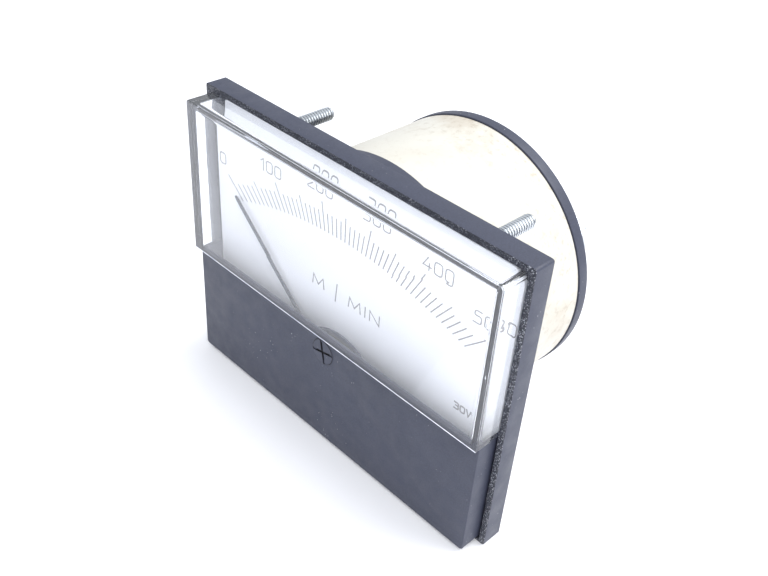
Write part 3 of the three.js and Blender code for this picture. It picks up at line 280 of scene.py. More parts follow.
def threaded(lead_in, radius, pitch, depth, y0, y1, x=0.0, z=0.0, steps=32):
    """A rod whose first rings are plain (radius, y) pairs, with a real helical thread after them."""
    rings = []
    angles = [2 * math.pi * i / steps for i in range(steps)]

    def ring(y, radii):
        rings.append([(x + r * math.cos(a), y, z + r * math.sin(a)) for a, r in zip(angles, radii)])

    for r, y in lead_in:
        ring(y, [r] * steps)
    rings_per_turn = 8
    span = abs(y1 - y0)
    count = int(span / pitch * rings_per_turn)
    taper = pitch * 0.9
    for k in range(count + 1):
        along = span * k / count
        from_end = min(along, span - along)
        limit = radius - depth * max(0.0, 1 - from_end / taper)
        radii = [min(limit, thread_radius(radius, pitch, depth, along, a)) for a in angles]
        ring(y0 + (y1 - y0) * k / count, radii)
    return ring_solid(rings)


def hex_nut(flats, bore, y0, y1, x=0.0, z=0.0, steps=96):
    """A hexagon nut with both faces chamfered round."""
    half = flats / 2
    corner = half / math.cos(math.radians(30))
    chamfer = (corner - half) * 0.62
    shoulder = chamfer * 0.35
    flat, curve = half * 0.97, half * 1.03
    inside = 0.35 * MM
    levels = [
        (y0 + inside, bore, 0), (y0, bore + inside, 0), (y0, flat, 1), (y0 + shoulder, curve, 1),
        (y0 + chamfer, corner, 1), (y1 - chamfer, corner, 1), (y1 - shoulder, curve, 1),
        (y1, flat, 1), (y1, bore + inside, 0), (y1 - inside, bore, 0)]
    rings = []
    for y, limit, outside in levels:
        ring = []
        for i in range(steps):
            a = 2 * math.pi * i / steps
            turn = (a + math.pi / 6) % (math.pi / 3) - math.pi / 6
            r = min(limit, half / math.cos(turn)) if outside else limit
            ring.append((x + r * math.cos(a), y, z + r * math.sin(a)))
        rings.append(ring)
    return ring_solid(rings, loop=True)


def combined(base, joined=(), cut=()):
    """One solid with others joined to it, then others cut away."""
    tools = [base, *joined, *cut]
    ways = ["UNION"] * len(joined) + ["DIFFERENCE"] * len(cut)
    objects = []
    for bm in tools:
        mesh = bpy.data.meshes.new("tool")
        bm.to_mesh(mesh)
        bm.free()
        tool = bpy.data.objects.new("tool", mesh)
        bpy.context.scene.collection.objects.link(tool)
        objects.append(tool)
    for tool, way in zip(objects[1:], ways):
        step = objects[0].modifiers.new("shape", "BOOLEAN")
        step.operation = way
        step.object = tool
        step.solver = "EXACT"
    graph = bpy.context.evaluated_depsgraph_get()
    mesh = bpy.data.meshes.new_from_object(objects[0].evaluated_get(graph))
    out = bmesh.new()
    out.from_mesh(mesh)
    bpy.data.meshes.remove(mesh)
    for tool in objects:
        data = tool.data
        bpy.data.objects.remove(tool)
        bpy.data.meshes.remove(data)
    bmesh.ops.remove_doubles(out, verts=out.verts, dist=WELD)
    return out


def bevelled(bm, width, segments=3, angle=40, keep=None):
    """Rounds the edges that turn more than the angle."""
    bm.normal_update()
    edges = [
        e for e in bm.edges
        if len(e.link_faces) == 2 and e.calc_face_angle(0) > math.radians(angle)
        and (keep is None or keep(e))]
    bmesh.ops.bevel(
        bm, geom=edges, offset=width, offset_type="OFFSET", segments=segments,
        profile=0.5, affect="EDGES", clamp_overlap=True)
    return bm


def together(parts):
    """Several closed shapes in one piece."""
    out = bmesh.new()
    for bm in parts:
        mesh = bpy.data.meshes.new("part")
        bm.to_mesh(mesh)
        bm.free()
        out.from_mesh(mesh)
        bpy.data.meshes.remove(mesh)
    return out


def piece(name, bm, look, body="case", stands_for=(), sharp=35):
    """Makes the mesh into a named piece that rides on a body."""
    bmesh.ops.recalc_face_normals(bm, faces=bm.faces)
    for face in bm.faces:
        face.smooth = True
    mesh = bpy.data.meshes.new(name)
    bm.to_mesh(mesh)
    bm.free()
    mesh.set_sharp_from_angle(angle=math.radians(sharp))
    looks = look if isinstance(look, (list, tuple)) else [look]
    for item in looks:
        mesh.materials.append(item)
    made = bpy.data.objects.new(name, mesh)
    bpy.context.scene.collection.objects.link(made)
    if stands_for:
        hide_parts(*stands_for)
    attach(made, body)
    return made


# ---------- finishes ----------
class Recipe:
    """A material under construction: nodes are added one by one and joined as they are made."""

    def __init__(self, name, colour, roughness, metallic=0.0, **values):
        self.material = bpy.data.materials.new(name)
        self.material.use_nodes = True
        self.tree = self.material.node_tree
        self.tree.nodes.clear()
        self.output = self.tree.nodes.new("ShaderNodeOutputMaterial")
        self.shader = self.tree.nodes.new("ShaderNodeBsdfPrincipled")
        self.tree.links.new(self.shader.outputs[0], self.output.inputs[0])
        self.shader.inputs["Base Color"].default_value = (*colour, 1)
        self.shader.inputs["Roughness"].default_value = roughness
        self.shader.inputs["Metallic"].default_value = metallic
        for key, value in values.items():
            self.shader.inputs[key.replace("_", " ")].default_value = value
        self.place = self.add("TexCoord").outputs["Object"]
        self.bump_from = None

    def add(self, kind, inputs=None, **settings):
        node = self.tree.nodes.new("ShaderNode" + kind)
        for key, value in settings.items():
            setattr(node, key, value)
        for key, value in (inputs or {}).items():
            if isinstance(value, bpy.types.NodeSocket):
                self.tree.links.new(value, node.inputs[key])
            else:
                node.inputs[key].default_value = value
        return node

    def stretched(self, x, y, z):
        return self.add("Mapping", {"Vector": self.place, "Scale": (x, y, z)}).outputs[0]

    def noise(self, scale, detail=3.0, rough=0.5, place=None, distortion=0.0):
        node = self.add("TexNoise", {
            "Vector": place or self.place, "Scale": scale, "Detail": detail,
            "Roughness": rough, "Distortion": distortion})
        return node.outputs["Fac"]

    def cells(self, scale, place=None, feature="F1"):
        node = self.add(
            "TexVoronoi", {"Vector": place or self.place, "Scale": scale}, feature=feature)
        return node.outputs["Distance"]

    def ramp(self, value, low, high, start=0.0, end=1.0):
        node = self.add("MapRange", {
            "Value": value, "From Min": low, "From Max": high, "To Min": start, "To Max": end})
        return node.outputs[0]

    def maths(self, way, a, b=0.0):
        return self.add("Math", {0: a, 1: b}, operation=way).outputs[0]

    def along(self, axis):
        return self.add("SeparateXYZ", {0: self.place}).outputs[axis]

    def blend(self, amount, a, b):
        """One colour, or coloured socket, turning into another."""
        node = self.add("Mix", data_type="RGBA")
        for index, value in ((0, amount), (6, a), (7, b)):
            if isinstance(value, bpy.types.NodeSocket):
                self.tree.links.new(value, node.inputs[index])
            elif isinstance(value, (int, float)):
                node.inputs[index].default_value = value
            else:
                node.inputs[index].default_value = (*value[:3], 1)
        return node.outputs[2]

    def colour(self, socket):
        self.tree.links.new(socket, self.shader.inputs["Base Color"])

    def roughness(self, socket):
        self.tree.links.new(socket, self.shader.inputs["Roughness"])

    def drift(self, scale, detail, low, high, a, b):
        """Colour that drifts from one to another in soft clouds."""
        self.colour(self.blend(self.ramp(self.noise(scale, detail), low, high), a, b))

    def gloss(self, scale, detail, low, high):
        """Roughness that drifts from one value to another."""
        self.roughness(self.ramp(self.noise(scale, detail), 0.3, 0.7, low, high))

    def bump(self, height, distance, strength=1.0):
        """Adds one layer of relief, its distance in metres."""
        values = {"Height": height, "Distance": distance, "Strength": strength}
        if self.bump_from:
            values["Normal"] = self.bump_from
        self.bump_from = self.add("Bump", values).outputs[0]
        self.tree.links.new(self.bump_from, self.shader.inputs["Normal"])

    def grain(self, scale, detail, depth, strength, rough=0.5):
        """Fine relief all over, its depth in millimetres."""
        self.bump(self.noise(scale, detail, rough), depth * MM, strength)


LOOKS = {}


def look(name):
    """The finish of that name, made when first asked for."""
    if name not in LOOKS:
        LOOKS[name] = RECIPES[name](bpy.context.scene.meter_colours)
    return LOOKS[name]


def darker(colour, by):
    return tuple(c * by for c in colour[:3])


def moulded_black(colours):
    base = tuple(colours.case_black)
    r = Recipe("moulded black", base, 0.5)
    cloud = r.noise(55, 4, 0.55)
    grain = r.noise(3400, 2, 0.6)
    broad = r.blend(r.ramp(cloud, 0.3, 0.7), darker(base, 0.9), darker(base, 1.12))
    fine = r.blend(r.ramp(grain, 0.35, 0.65), darker(base, 0.74), darker(base, 1.3))
    mottled = r.blend(0.5, broad, fine)
    specks = r.maths("LESS_THAN", r.cells(900), r.ramp(r.noise(120, 2), 0.45, 0.75, 0.0, 0.15))
    lint = r.maths("LESS_THAN", r.cells(260, r.stretched(1.0, 1.0, 0.35)),
                   r.ramp(r.noise(70, 2), 0.62, 0.8, 0.0, 0.07))
    dirt = r.maths("MULTIPLY", r.maths("MAXIMUM", specks, lint), 0.55)
    r.colour(r.blend(dirt, mottled, (0.55, 0.56, 0.58)))
    r.gloss(240, 4, 0.42, 0.58)
    r.bump(grain, 0.03 * MM, 0.9)
    r.bump(cloud, 0.05 * MM, 0.35)
    return r.material


def dusty_rim_and_painted_shade(colours):
    """The same plastic made darker in the groove round the covers and on the flange's front, as
    painted shade, with light specks of dust settled over it.
    """
    base = darker(colours.case_black, 0.42)
    r = Recipe("dusty rim and painted shade", base, 0.55)
    patch = r.ramp(r.noise(160, 3), 0.28, 0.58)
    near_right = r.ramp(r.along("X"), FLANGE_HI.x - 9 * MM, FLANGE_HI.x - 3 * MM, 0.28, 0.6)
    grit = r.maths("LESS_THAN", r.cells(2500), r.ramp(patch, 0.0, 1.0, 0.15, 0.32))
    crumbs = r.maths("LESS_THAN", r.cells(4300), 0.22)
    dust = r.maths("MULTIPLY", r.maths("MAXIMUM", grit, crumbs), near_right)
    r.colour(r.blend(dust, base, (0.60, 0.62, 0.70)))
    r.gloss(800, 3, 0.4, 0.7)
    r.grain(3300, 3, 0.05, 0.9, 0.7)
    return r.material


def slot_painted_shade(colours):
    """Painted shade: near-black colour inside the slots of the zero adjuster."""
    base = darker(colours.case_black, 0.12)
    r = Recipe("slot painted shade", base, 0.7)
    r.colour(r.blend(r.noise(900, 3), base, darker(base, 1.7)))
    r.grain(2500, 3, 0.03, 0.6)
    return r.material


def clear_acrylic(colours):
    """Clear plastic that lets lamp light through and has waves on its inner side faces."""
    r = Recipe("clear acrylic", (0.955, 0.97, 1.0), 0.015, IOR=1.49, Transmission_Weight=0.968)
    smear = r.ramp(r.noise(42, 5, 0.6, r.stretched(1, 1, 2.2)), 0.45, 0.75, 0.0, 0.05)
    scratch = r.maths("LESS_THAN", r.cells(900, r.stretched(0.08, 1, 1.0)), 0.02)
    r.roughness(r.maths("ADD", smear, r.maths("MULTIPLY", scratch, 0.25)))
    inner_face = WINDOW_HI.x - bpy.context.scene.meter_case.cover_wall
    side = r.maths("ABSOLUTE", r.along("X"))
    off_face = r.maths("ABSOLUTE", r.maths("SUBTRACT", side, inner_face))
    on_face = r.maths("LESS_THAN", off_face, 0.1 * MM)
    wave = r.maths("MULTIPLY", r.noise(420, 1, 0.4, r.stretched(1, 0.3, 1)), on_face)
    r.grain(160, 2, 0.006, 0.5, 0.4)
    r.bump(wave, 0.18 * MM)
    tinted = r.add("VolumeAbsorption", {"Color": (0.74, 0.80, 0.95, 1), "Density": 18.0})
    r.tree.links.new(tinted.outputs[0], r.output.inputs["Volume"])
    light = r.add("LightPath")
    open_to_lamps = r.add("BsdfTransparent", {"Color": (0.98, 0.985, 0.99, 1)})
    mix = r.add("MixShader", {0: light.outputs["Is Shadow Ray"]})
    r.tree.links.new(r.shader.outputs[0], mix.inputs[1])
    r.tree.links.new(open_to_lamps.outputs[0], mix.inputs[2])
    r.tree.links.new(mix.outputs[0], r.output.inputs[0])
    return r.material


def painted_joint_shade(colours):
    """Near-black dull face at the window's foot, seen through the glass as a dark band: painted
    shade.
    """
    base = darker(colours.case_black, 0.6)
    r = Recipe("painted joint shade", base, 0.8, Specular_IOR_Level=0.0)
    r.colour(r.blend(r.noise(500, 3), base, darker(base, 1.5)))
    r.grain(1800, 3, 0.02, 0.5)
    return r.material


def painted_glint_edge(colours):
    """Pale opaque chamfer along the window's foot, a painted highlight that shows as a bright line.
    """
    r = Recipe("painted edge glint", (0.80, 0.84, 0.92), 0.35)
    r.drift(500, 3, 0.35, 0.7, (0.82, 0.85, 0.92), (0.50, 0.54, 0.66))
    r.grain(2500, 2, 0.01, 0.5)
    return r.material


def cream_paint(colours):
    """Old paint, yellowed and stained, mostly near the rear rim."""
    base = tuple(colours.cream)
    stain = tuple(colours.stain)
    r = Recipe("cream paint", base, 0.45)
    cloud = r.ramp(r.noise(55, 5, 0.65, distortion=0.6), 0.44, 0.62)
    spots = r.ramp(r.noise(520, 4, 0.75), 0.52, 0.64)
    near_rim = r.ramp(r.along("Y"), SLEEVE_HI.y - 18 * MM, SLEEVE_HI.y, 0.3, 1.0)
    aged = r.maths("MULTIPLY", r.maths("MULTIPLY", cloud, near_rim), 0.42)
    spotted = r.maths("MULTIPLY", r.maths("MULTIPLY", spots, near_rim), 0.42)
    yellowed = r.blend(r.ramp(r.noise(16, 3), 0.35, 0.65), base, darker(base, 0.93))
    tan = r.blend(aged, yellowed, stain)
    r.colour(r.blend(spotted, tan, darker(stain, 0.75)))
    r.gloss(90, 4, 0.36, 0.56)
    r.grain(900, 3, 0.02, 0.5)
    r.grain(45, 2, 0.12, 0.4)
    return r.material


def dial_paint(colours):
    base = tuple(colours.dial_white)
    r = Recipe("dial paint", base, 0.55)
    r.drift(60, 4, 0.35, 0.7, base, darker(base, 0.97))
    r.gloss(500, 3, 0.5, 0.62)
    r.grain(1800, 2, 0.006, 0.5)
    return r.material


def printed_ink(colours):
    base = tuple(colours.ink)
    r = Recipe("printed ink", base, 0.5)
    r.drift(1500, 3, 0.3, 0.7, base, darker(base, 1.7))
    r.gloss(900, 2, 0.42, 0.6)
    return r.material


def shield_paint(colours):
    base = darker(colours.case_black, 1.5)
    r = Recipe("shield paint", base, 0.35)
    r.drift(300, 3, 0.3, 0.7, base, darker(base, 1.4))
    r.gloss(700, 2, 0.22, 0.45)
    r.grain(700, 2, 0.03, 0.7)
    return r.material


def pointer_paint(colours):
    base = tuple(colours.pointer_grey)
    r = Recipe("pointer paint", base, 0.7, Specular_IOR_Level=0.2)
    r.drift(700, 3, 0.3, 0.7, darker(base, 0.85), darker(base, 1.15))
    r.gloss(1500, 2, 0.6, 0.8)
    r.grain(2600, 2, 0.01, 0.6)
    return r.material


def metal(name, base, rough, change=0.25, streak=(1, 1, 1), scale=600, tarnish=None):
    """Bare or plated metal with worn patches and a fine grain, drawn out along the streak."""
    r = Recipe(name, base, rough, 1.0)
    fine = r.noise(scale, 4, 0.65, r.stretched(*streak))
    broad = r.noise(scale * 0.12, 3, 0.5)
    worn = tarnish or darker(base, 1 - change)
    r.colour(r.blend(r.ramp(broad, 0.35, 0.68), base, worn))
    r.roughness(r.ramp(fine, 0.3, 0.7, rough * 0.75, min(1.0, rough * 1.35)))
    r.bump(fine, 0.006 * MM, 0.6)
    return r.material


def enamelled_wire(colours):
    r = Recipe("copper winding", (0.50, 0.16, 0.06), 0.3, 1.0, Coat_Weight=0.5)
    turns = r.add("TexWave", {"Vector": r.place, "Scale": 900.0, "Distortion": 0.4},
                  wave_type="BANDS", bands_direction="Z")
    r.colour(r.blend(turns.outputs["Fac"], (0.30, 0.08, 0.03), (0.58, 0.20, 0.08)))
    r.gloss(900, 3, 0.22, 0.45)
    r.bump(turns.outputs["Fac"], 0.05 * MM, 0.8)
    return r.material


def wire_insulation(colours):
    base = (0.42, 0.03, 0.02)
    r = Recipe("wire insulation", base, 0.5)
    cloud = r.noise(500, 4)
    r.colour(r.blend(r.ramp(cloud, 0.3, 0.7), darker(base, 0.8), darker(base, 1.15)))
    r.gloss(1000, 3, 0.4, 0.6)
    r.bump(cloud, 0.01 * MM, 0.6)
    return r.material


def resistor_coat(colours):
    """Cement-green body with a generic ring of darker bands."""
    base = (0.05, 0.15, 0.08)
    r = Recipe("resistor coat", base, 0.5)
    bands_per_metre = 420.0
    band = r.maths("MULTIPLY", r.along("X"), bands_per_metre)
    stripe = r.maths("GREATER_THAN", r.maths("FRACT", band), 0.72)
    r.colour(r.blend(r.maths("MULTIPLY", stripe, 0.7), base, (0.30, 0.16, 0.04)))
    r.gloss(900, 3, 0.4, 0.62)
    r.grain(1500, 3, 0.03, 0.6)
    return r.material


def studio_floor(colours):
    base = tuple(colours.floor_white)
    r = Recipe("studio floor", base, 0.65)
    r.drift(6, 3, 0.3, 0.7, base, darker(base, 0.992))
    r.gloss(30, 3, 0.6, 0.72)
    return r.material


RECIPES = {
    "moulded black": moulded_black,
    "dusty rim and painted shade": dusty_rim_and_painted_shade,
    "slot painted shade": slot_painted_shade,
    "clear acrylic": clear_acrylic,
    "painted joint shade": painted_joint_shade,
    "painted edge glint": painted_glint_edge,
    "cream paint": cream_paint,
    "dial paint": dial_paint,
    "printed ink": printed_ink,
    "shield paint": shield_paint,
    "pointer paint": pointer_paint,
    "zinc": lambda c: metal("zinc plate", tuple(c.zinc), 0.3, 0.22),
    # Darker metal for the thread roots: painted shade.
    "thread root painted shade": lambda c: metal("thread root painted shade", (0.33, 0.35, 0.37), 0.5, 0.3, scale=1500),
    "spring steel": lambda c: metal("spring steel", (0.42, 0.43, 0.45), 0.3, 0.3),
    "soft iron": lambda c: metal("soft iron", (0.16, 0.165, 0.18), 0.45, 0.35, scale=400),
    "magnet": lambda c: metal("magnet alloy", (0.20, 0.20, 0.21), 0.55, 0.35, scale=900),
    "brass": lambda c: metal("movement brass", (0.62, 0.44, 0.18), 0.32, 0.3,
                             (1, 0.15, 1), 900, (0.36, 0.24, 0.10)),
    "bronze": lambda c: metal("phosphor bronze", (0.55, 0.32, 0.15), 0.28, 0.25, scale=1500),
    "aluminium": lambda c: metal("chassis aluminium", (0.62, 0.63, 0.65), 0.38, 0.2,
                                 (0.12, 1, 1), 900),
    "copper winding": enamelled_wire,
    "resistor coat": resistor_coat,
    "wire insulation": wire_insulation,
    "studio floor": studio_floor,
}


# ---------- print on the dial ----------
def ribbon(points, width, y0, y1, closed=False):
    """A flat line of even width along the points, made into a thin closed slab."""
    path = [Vector(p) for p in points]
    count = len(path)
    same_point, sharpest = 1e-9, 0.5
    left, right = [], []
    for i, here in enumerate(path):
        before = path[i - 1] if (i or closed) else here
        after = path[(i + 1) % count] if (i < count - 1 or closed) else here
        a = (here - before).normalized() if (here - before).length > same_point else None
        b = (after - here).normalized() if (after - here).length > same_point else None
        a = a or b
        b = b or a
        along = (a + b).normalized()
        side = Vector((-along.y, along.x))
        reach = width / 2 / max(sharpest, along.dot(a))
        end = 0.0
        if not closed and i in (0, count - 1):
            end = width / 2 * (-1 if i == 0 else 1)
        left.append(here + side * reach + along * end)
        right.append(here - side * reach + along * end)
    bm = bmesh.new()
    rows = []
    for l, r in zip(left, right):
        rows.append([bm.verts.new(p) for p in (
            (l.x, y0, l.y), (r.x, y0, r.y), (r.x, y1, r.y), (l.x, y1, l.y))])
    pairs = list(zip(rows, rows[1:]))
    if closed:
        pairs.append((rows[-1], rows[0]))
    for a, b in pairs:
        for k in range(4):
            bm.faces.new((a[k], a[(k + 1) % 4], b[(k + 1) % 4], b[k]))
    if not closed:
        bm.faces.new(rows[0])
        bm.faces.new(rows[-1])
    return bm


# Each sign is a set of pen strokes in a cell one unit high: (width, [(closed, corner, points), ...]).
SIGNS = {
    "0": (0.72, [(True, 0.26, [(0, 0), (0.72, 0), (0.72, 1), (0, 1)])]),
    "1": (0.36, [(False, 0.0, [(0, 0.80), (0.30, 1), (0.30, 0)])]),
    "2": (0.68, [(False, 0.22, [(0, 0.74), (0, 1), (0.66, 1), (0.68, 0.58), (0, 0.14), (0, 0),
                                (0.70, 0)])]),
    "3": (0.68, [(False, 0.2, [(0, 1), (0.66, 1), (0.66, 0.54), (0.22, 0.54)]),
                 (False, 0.22, [(0.22, 0.54), (0.68, 0.54), (0.68, 0), (0, 0)])]),
    "4": (0.76, [(False, 0.0, [(0.42, 1), (0, 0.27), (0.76, 0.27)]),
                 (False, 0.0, [(0.58, 0.55), (0.58, 0)])]),
    "5": (0.68, [(False, 0.2, [(0.64, 1), (0.08, 1), (0.03, 0.58), (0.66, 0.62), (0.68, 0),
                               (0, 0)])]),
    "M": (1.4, [(False, 0.0, [(0, 0), (0.12, 1), (0.7, 0.16), (1.28, 1), (1.4, 0)])]),
    "I": (0.0, [(False, 0.0, [(0, 0), (0, 1)])]),
    "N": (1.08, [(False, 0.0, [(0, 0), (0, 1), (1.08, 0), (1.08, 1)])]),
    "V": (0.68, [(False, 0.0, [(0, 1), (0.34, 0), (0.68, 1)])]),
    "/": (0.16, [(False, 0.0, [(0, -0.4), (0.16, 1.4)])]),
    ".": (0.0, [(False, 0.0, [(0, 0), (0, 0.06)])]),
    " ": (0.34, []),
}


def lettering(text, x, z, height, stroke, y0, y1, gap=0.30):
    """Pen-stroke text centred on a point of the dial."""
    total = sum(SIGNS[c][0] for c in text) + gap * (len(text) - 1)
    at = -total / 2
    made = []
    for sign in text:
        width, strokes = SIGNS[sign]
        for closed, corner, points in strokes:
            outline = soften(points, corner, closed, 5) if corner else points
            placed = [(x + (at + px) * height, z + (pz - 0.5) * height) for px, pz in outline]
            made.append(ribbon(placed, stroke, y0, y1, closed))
        at += width + gap
    return made


def dial_y(dial):
    """Rear and front faces of the ink, which is sunk a hair into the dial."""
    sunk = 0.002 * MM
    return DIAL_LO.y + sunk, DIAL_LO.y - dial.print_height


# ---------- operators ----------
COVER_ROUNDING = 0.8  # edge rounding of the covers, as a share of the flange's


class METER_OT_bezel(bpy.types.Operator):
    """Square flange with its pocket for the covers and the collar behind it"""
    bl_idname = "meter.bezel"
    bl_label = "Flange and collar"
    bl_options = {"REGISTER", "UNDO"}

    def execute(self, context):
        case = context.scene.meter_case
        face = FLANGE_LO.y + case.flange_thickness
        floor = face - case.floor_thickness
        out = 2 * MM
        slab = prism(
            rounded(FLANGE_LO.x, FLANGE_HI.x, FLANGE_LO.z, FLANGE_HI.z, case.corner),
            FLANGE_LO.y, face)
        bore = COLLAR_RADIUS - case.collar_wall
        overlap = 1.2 * MM
        collar = pipe(bore, COLLAR_RADIUS, face - overlap, FLANGE_HI.y, 0, BARREL_Z, case.edge,
                      LARGE_CIRCLE)
        border = case.side_border + case.cover_gap
        pocket = prism(
            rounded(FLANGE_LO.x + border, FLANGE_HI.x - border, FLANGE_LO.z + case.bottom_border,
                    FLANGE_HI.z - border, case.cover_corner),
            FLANGE_LO.y - out, floor)
        room = 0.2 * MM
        chassis_room = (CHASSIS_HI.x - CHASSIS_LO.x) / 2 + room
        stud_bore, stud_seat, seat_depth = 1.85 * MM, 3.1 * MM, 1.15 * MM
        cut = [
            pocket,
            rod(case.mouth, floor - out, FLANGE_HI.y + out, 0, BARREL_Z, LARGE_CIRCLE),
            rod(chassis_room, floor - out, CHASSIS_HI.y, 0, BARREL_Z, LARGE_CIRCLE),
            rod(RING_RADIUS + room, floor - out, FLANGE_HI.y + out, 0, PIVOT.z),
        ]
        for corner in STUD_CORNERS:
            _, _, x, z = centre_of("stud_" + corner)
            cut.append(rod(stud_bore, floor - out, face + out, x, z, SMALL_CIRCLE))
            cut.append(rod(stud_seat, floor - out, floor + seat_depth, x, z, SMALL_CIRCLE))
        bm = combined(slab, [collar], cut)
        bevelled(bm, case.edge, angle=50)
        skin, side, below, front = 0.05 * MM, 0.5 * MM, 0.4 * MM, 0.1 * MM
        # The pocket walls and the flange's front face take the second finish: darker plastic as
        # painted shade, with specks of dust.
        for f in bm.faces:
            middle = f.calc_center_median()
            inside = (abs(middle.x) < FLANGE_HI.x - side
                      and FLANGE_LO.z + below < middle.z < FLANGE_HI.z - side)
            if (inside and middle.y < floor - skin) or middle.y < FLANGE_LO.y + front:
                f.material_index = 1
        piece("bezel", bm, [look("moulded black"), look("dusty rim and painted shade")],
              stands_for=["base_frame"])
        return {"FINISHED"}


class METER_OT_window(bpy.types.Operator):
    """Clear box over the dial, open behind and below"""
    bl_idname = "meter.window"
    bl_label = "Window box"
    bl_options = {"REGISTER", "UNDO"}

    def execute(self, context):
        case = context.scene.meter_case
        wall = case.cover_wall
        low = WINDOW_LO.z
        # The box is made too long, and cut off square at its open end.
        skirt, behind, under = 3 * MM, 5 * MM, 9 * MM
        outer = prism(
            rounded(WINDOW_LO.x, WINDOW_HI.x, low - skirt, WINDOW_HI.z, case.cover_corner),
            WINDOW_LO.y, WINDOW_HI.y)
        hollow = block(WINDOW_LO.x + wall, WINDOW_HI.x - wall, WINDOW_LO.y + wall,
                       WINDOW_HI.y + behind, low - under, WINDOW_HI.z - wall)
        bevelled(hollow, case.inner_fillet, 4, 60)
        below = block(WINDOW_LO.x - MM, WINDOW_HI.x + MM, WINDOW_LO.y - MM, WINDOW_HI.y + MM,
                      low - under, low)
        bm = combined(outer, cut=[hollow, below])
        hair = 0.01 * MM
        bevelled(bm, case.edge * COVER_ROUNDING, angle=50,
                 keep=lambda e: max(v.co.z for v in e.verts) > low + hair)
        strip_top, front_depth = low + 0.26 * MM, WINDOW_LO.y + 0.5 * MM
        bmesh.ops.bisect_plane(bm, geom=[*bm.verts, *bm.edges, *bm.faces], dist=WELD,
                               plane_co=(0, 0, strip_top), plane_no=(0, 0, 1))
        bm.normal_update()
        # Bottom faces take the near-black painted shade, and the strip of front faces just above them
        # the pale painted highlight.
        for f in bm.faces:
            middle = f.calc_center_median()
            if f.normal.z < -0.9 and middle.z < low + hair:
                f.material_index = 1
            elif f.normal.y < -0.5 and middle.z < strip_top and middle.y < front_depth:
                f.material_index = 2
        looks = [look("clear acrylic"), look("painted joint shade"), look("painted edge glint")]
        piece("window_box", bm, looks, stands_for=["window_cover"])
        return {"FINISHED"}


class METER_OT_lower_cover(bpy.types.Operator):
    """Black cover below the window, with the hole for the zero adjuster"""
    bl_idname = "meter.lower_cover"
    bl_label = "Lower cover"
    bl_options = {"REGISTER", "UNDO"}

    def execute(self, context):
        case = context.scene.meter_case
        wall = case.cover_wall
        top = LOWER_HI.z
        skirt, behind, over = 3 * MM, 5 * MM, 9 * MM
        outer = prism(
            rounded(LOWER_LO.x, LOWER_HI.x, LOWER_LO.z, top + skirt, case.cover_corner),
            LOWER_LO.y, LOWER_HI.y)
        hollow = block(LOWER_LO.x + wall, LOWER_HI.x - wall, LOWER_LO.y + wall,
                       LOWER_HI.y + behind, LOWER_LO.z + wall, top + over)
        above = block(LOWER_LO.x - MM, LOWER_HI.x + MM, LOWER_LO.y - MM, LOWER_HI.y + MM,
                      top, top + over)
        hole_radius = 2.48 * MM
        hole = rod(hole_radius, LOWER_LO.y - MM, LOWER_LO.y + wall + MM, 0, ADJUSTER_Z)
        bm = combined(outer, cut=[hollow, above, hole])
        bevelled(bm, case.edge * COVER_ROUNDING, angle=50)
        piece("lower_front", bm, look("moulded black"), stands_for=["lower_cover"])
        return {"FINISHED"}


class METER_OT_adjuster(bpy.types.Operator):
    """Zero adjuster with its crossed slots and eccentric pin"""
    bl_idname = "meter.adjuster"
    bl_label = "Zero adjuster"
    bl_options = {"REGISTER", "UNDO"}

    def execute(self, context):
        head = (ADJUSTER_HI.x - ADJUSTER_LO.x) / 2
        proud, head_depth, shank, neck_step = 0.25 * MM, 0.65 * MM, 2.4 * MM, 0.4 * MM
        crown, rim, play = 0.02 * MM, 0.3 * MM, 0.05 * MM
        clip_lo, clip_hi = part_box("adjuster_clip")
        front = LOWER_LO.y - proud
        rear = front + head_depth
        end = clip_hi.y + 0.3 * MM
        profile = [(head * 0.30, front), (head - 0.4 * MM, front + crown)]
        profile += soften([(head - rim, front + 0.03 * MM), (head, front + 0.2 * MM),
                           (head, rear)], 0.15 * MM, closed=False)
        neck = shank - neck_step
        profile += [(shank, rear), (shank, clip_lo.y - play), (neck, clip_lo.y - play),
                    (neck, clip_hi.y + play), (shank, clip_hi.y + play), (shank, end)]
        body = turned(profile, 0, ADJUSTER_Z, 72)
        pin_radius, pin_offset = 0.55 * MM, 1.5 * MM
        pin = rod(pin_radius, end - MM, ADJUSTER_HI.y, 0, ADJUSTER_Z - pin_offset, 20)
        slot_reach, slot_half, slot_depth = head * 0.93, 0.33 * MM, 0.45 * MM
        slot_corner, slot_turn = 0.12 * MM, math.radians(-12)
        slots = []
        for w, h in ((slot_reach, slot_half), (slot_half, slot_reach)):
            slot = prism(rounded(-w, w, -h, h, slot_corner, 3), front - MM, front + slot_depth)
            turn_and_move(slot, slot_turn, (0, 0, ADJUSTER_Z))
            slots.append(slot)
        bm = combined(body, [pin], slots)
        within = head * 0.97
        # Faces deep in the slots take the near-black painted shade.
        for f in bm.faces:
            deep = front + crown * 2 < f.calc_center_median().y < rear - play
            if deep and all(math.hypot(v.co.x, v.co.z - ADJUSTER_Z) < within for v in f.verts):
                f.material_index = 1
        piece("adjuster_head", bm, [look("moulded black"), look("slot painted shade")],
              "adjuster", ["zero_adjuster"])
        return {"FINISHED"}


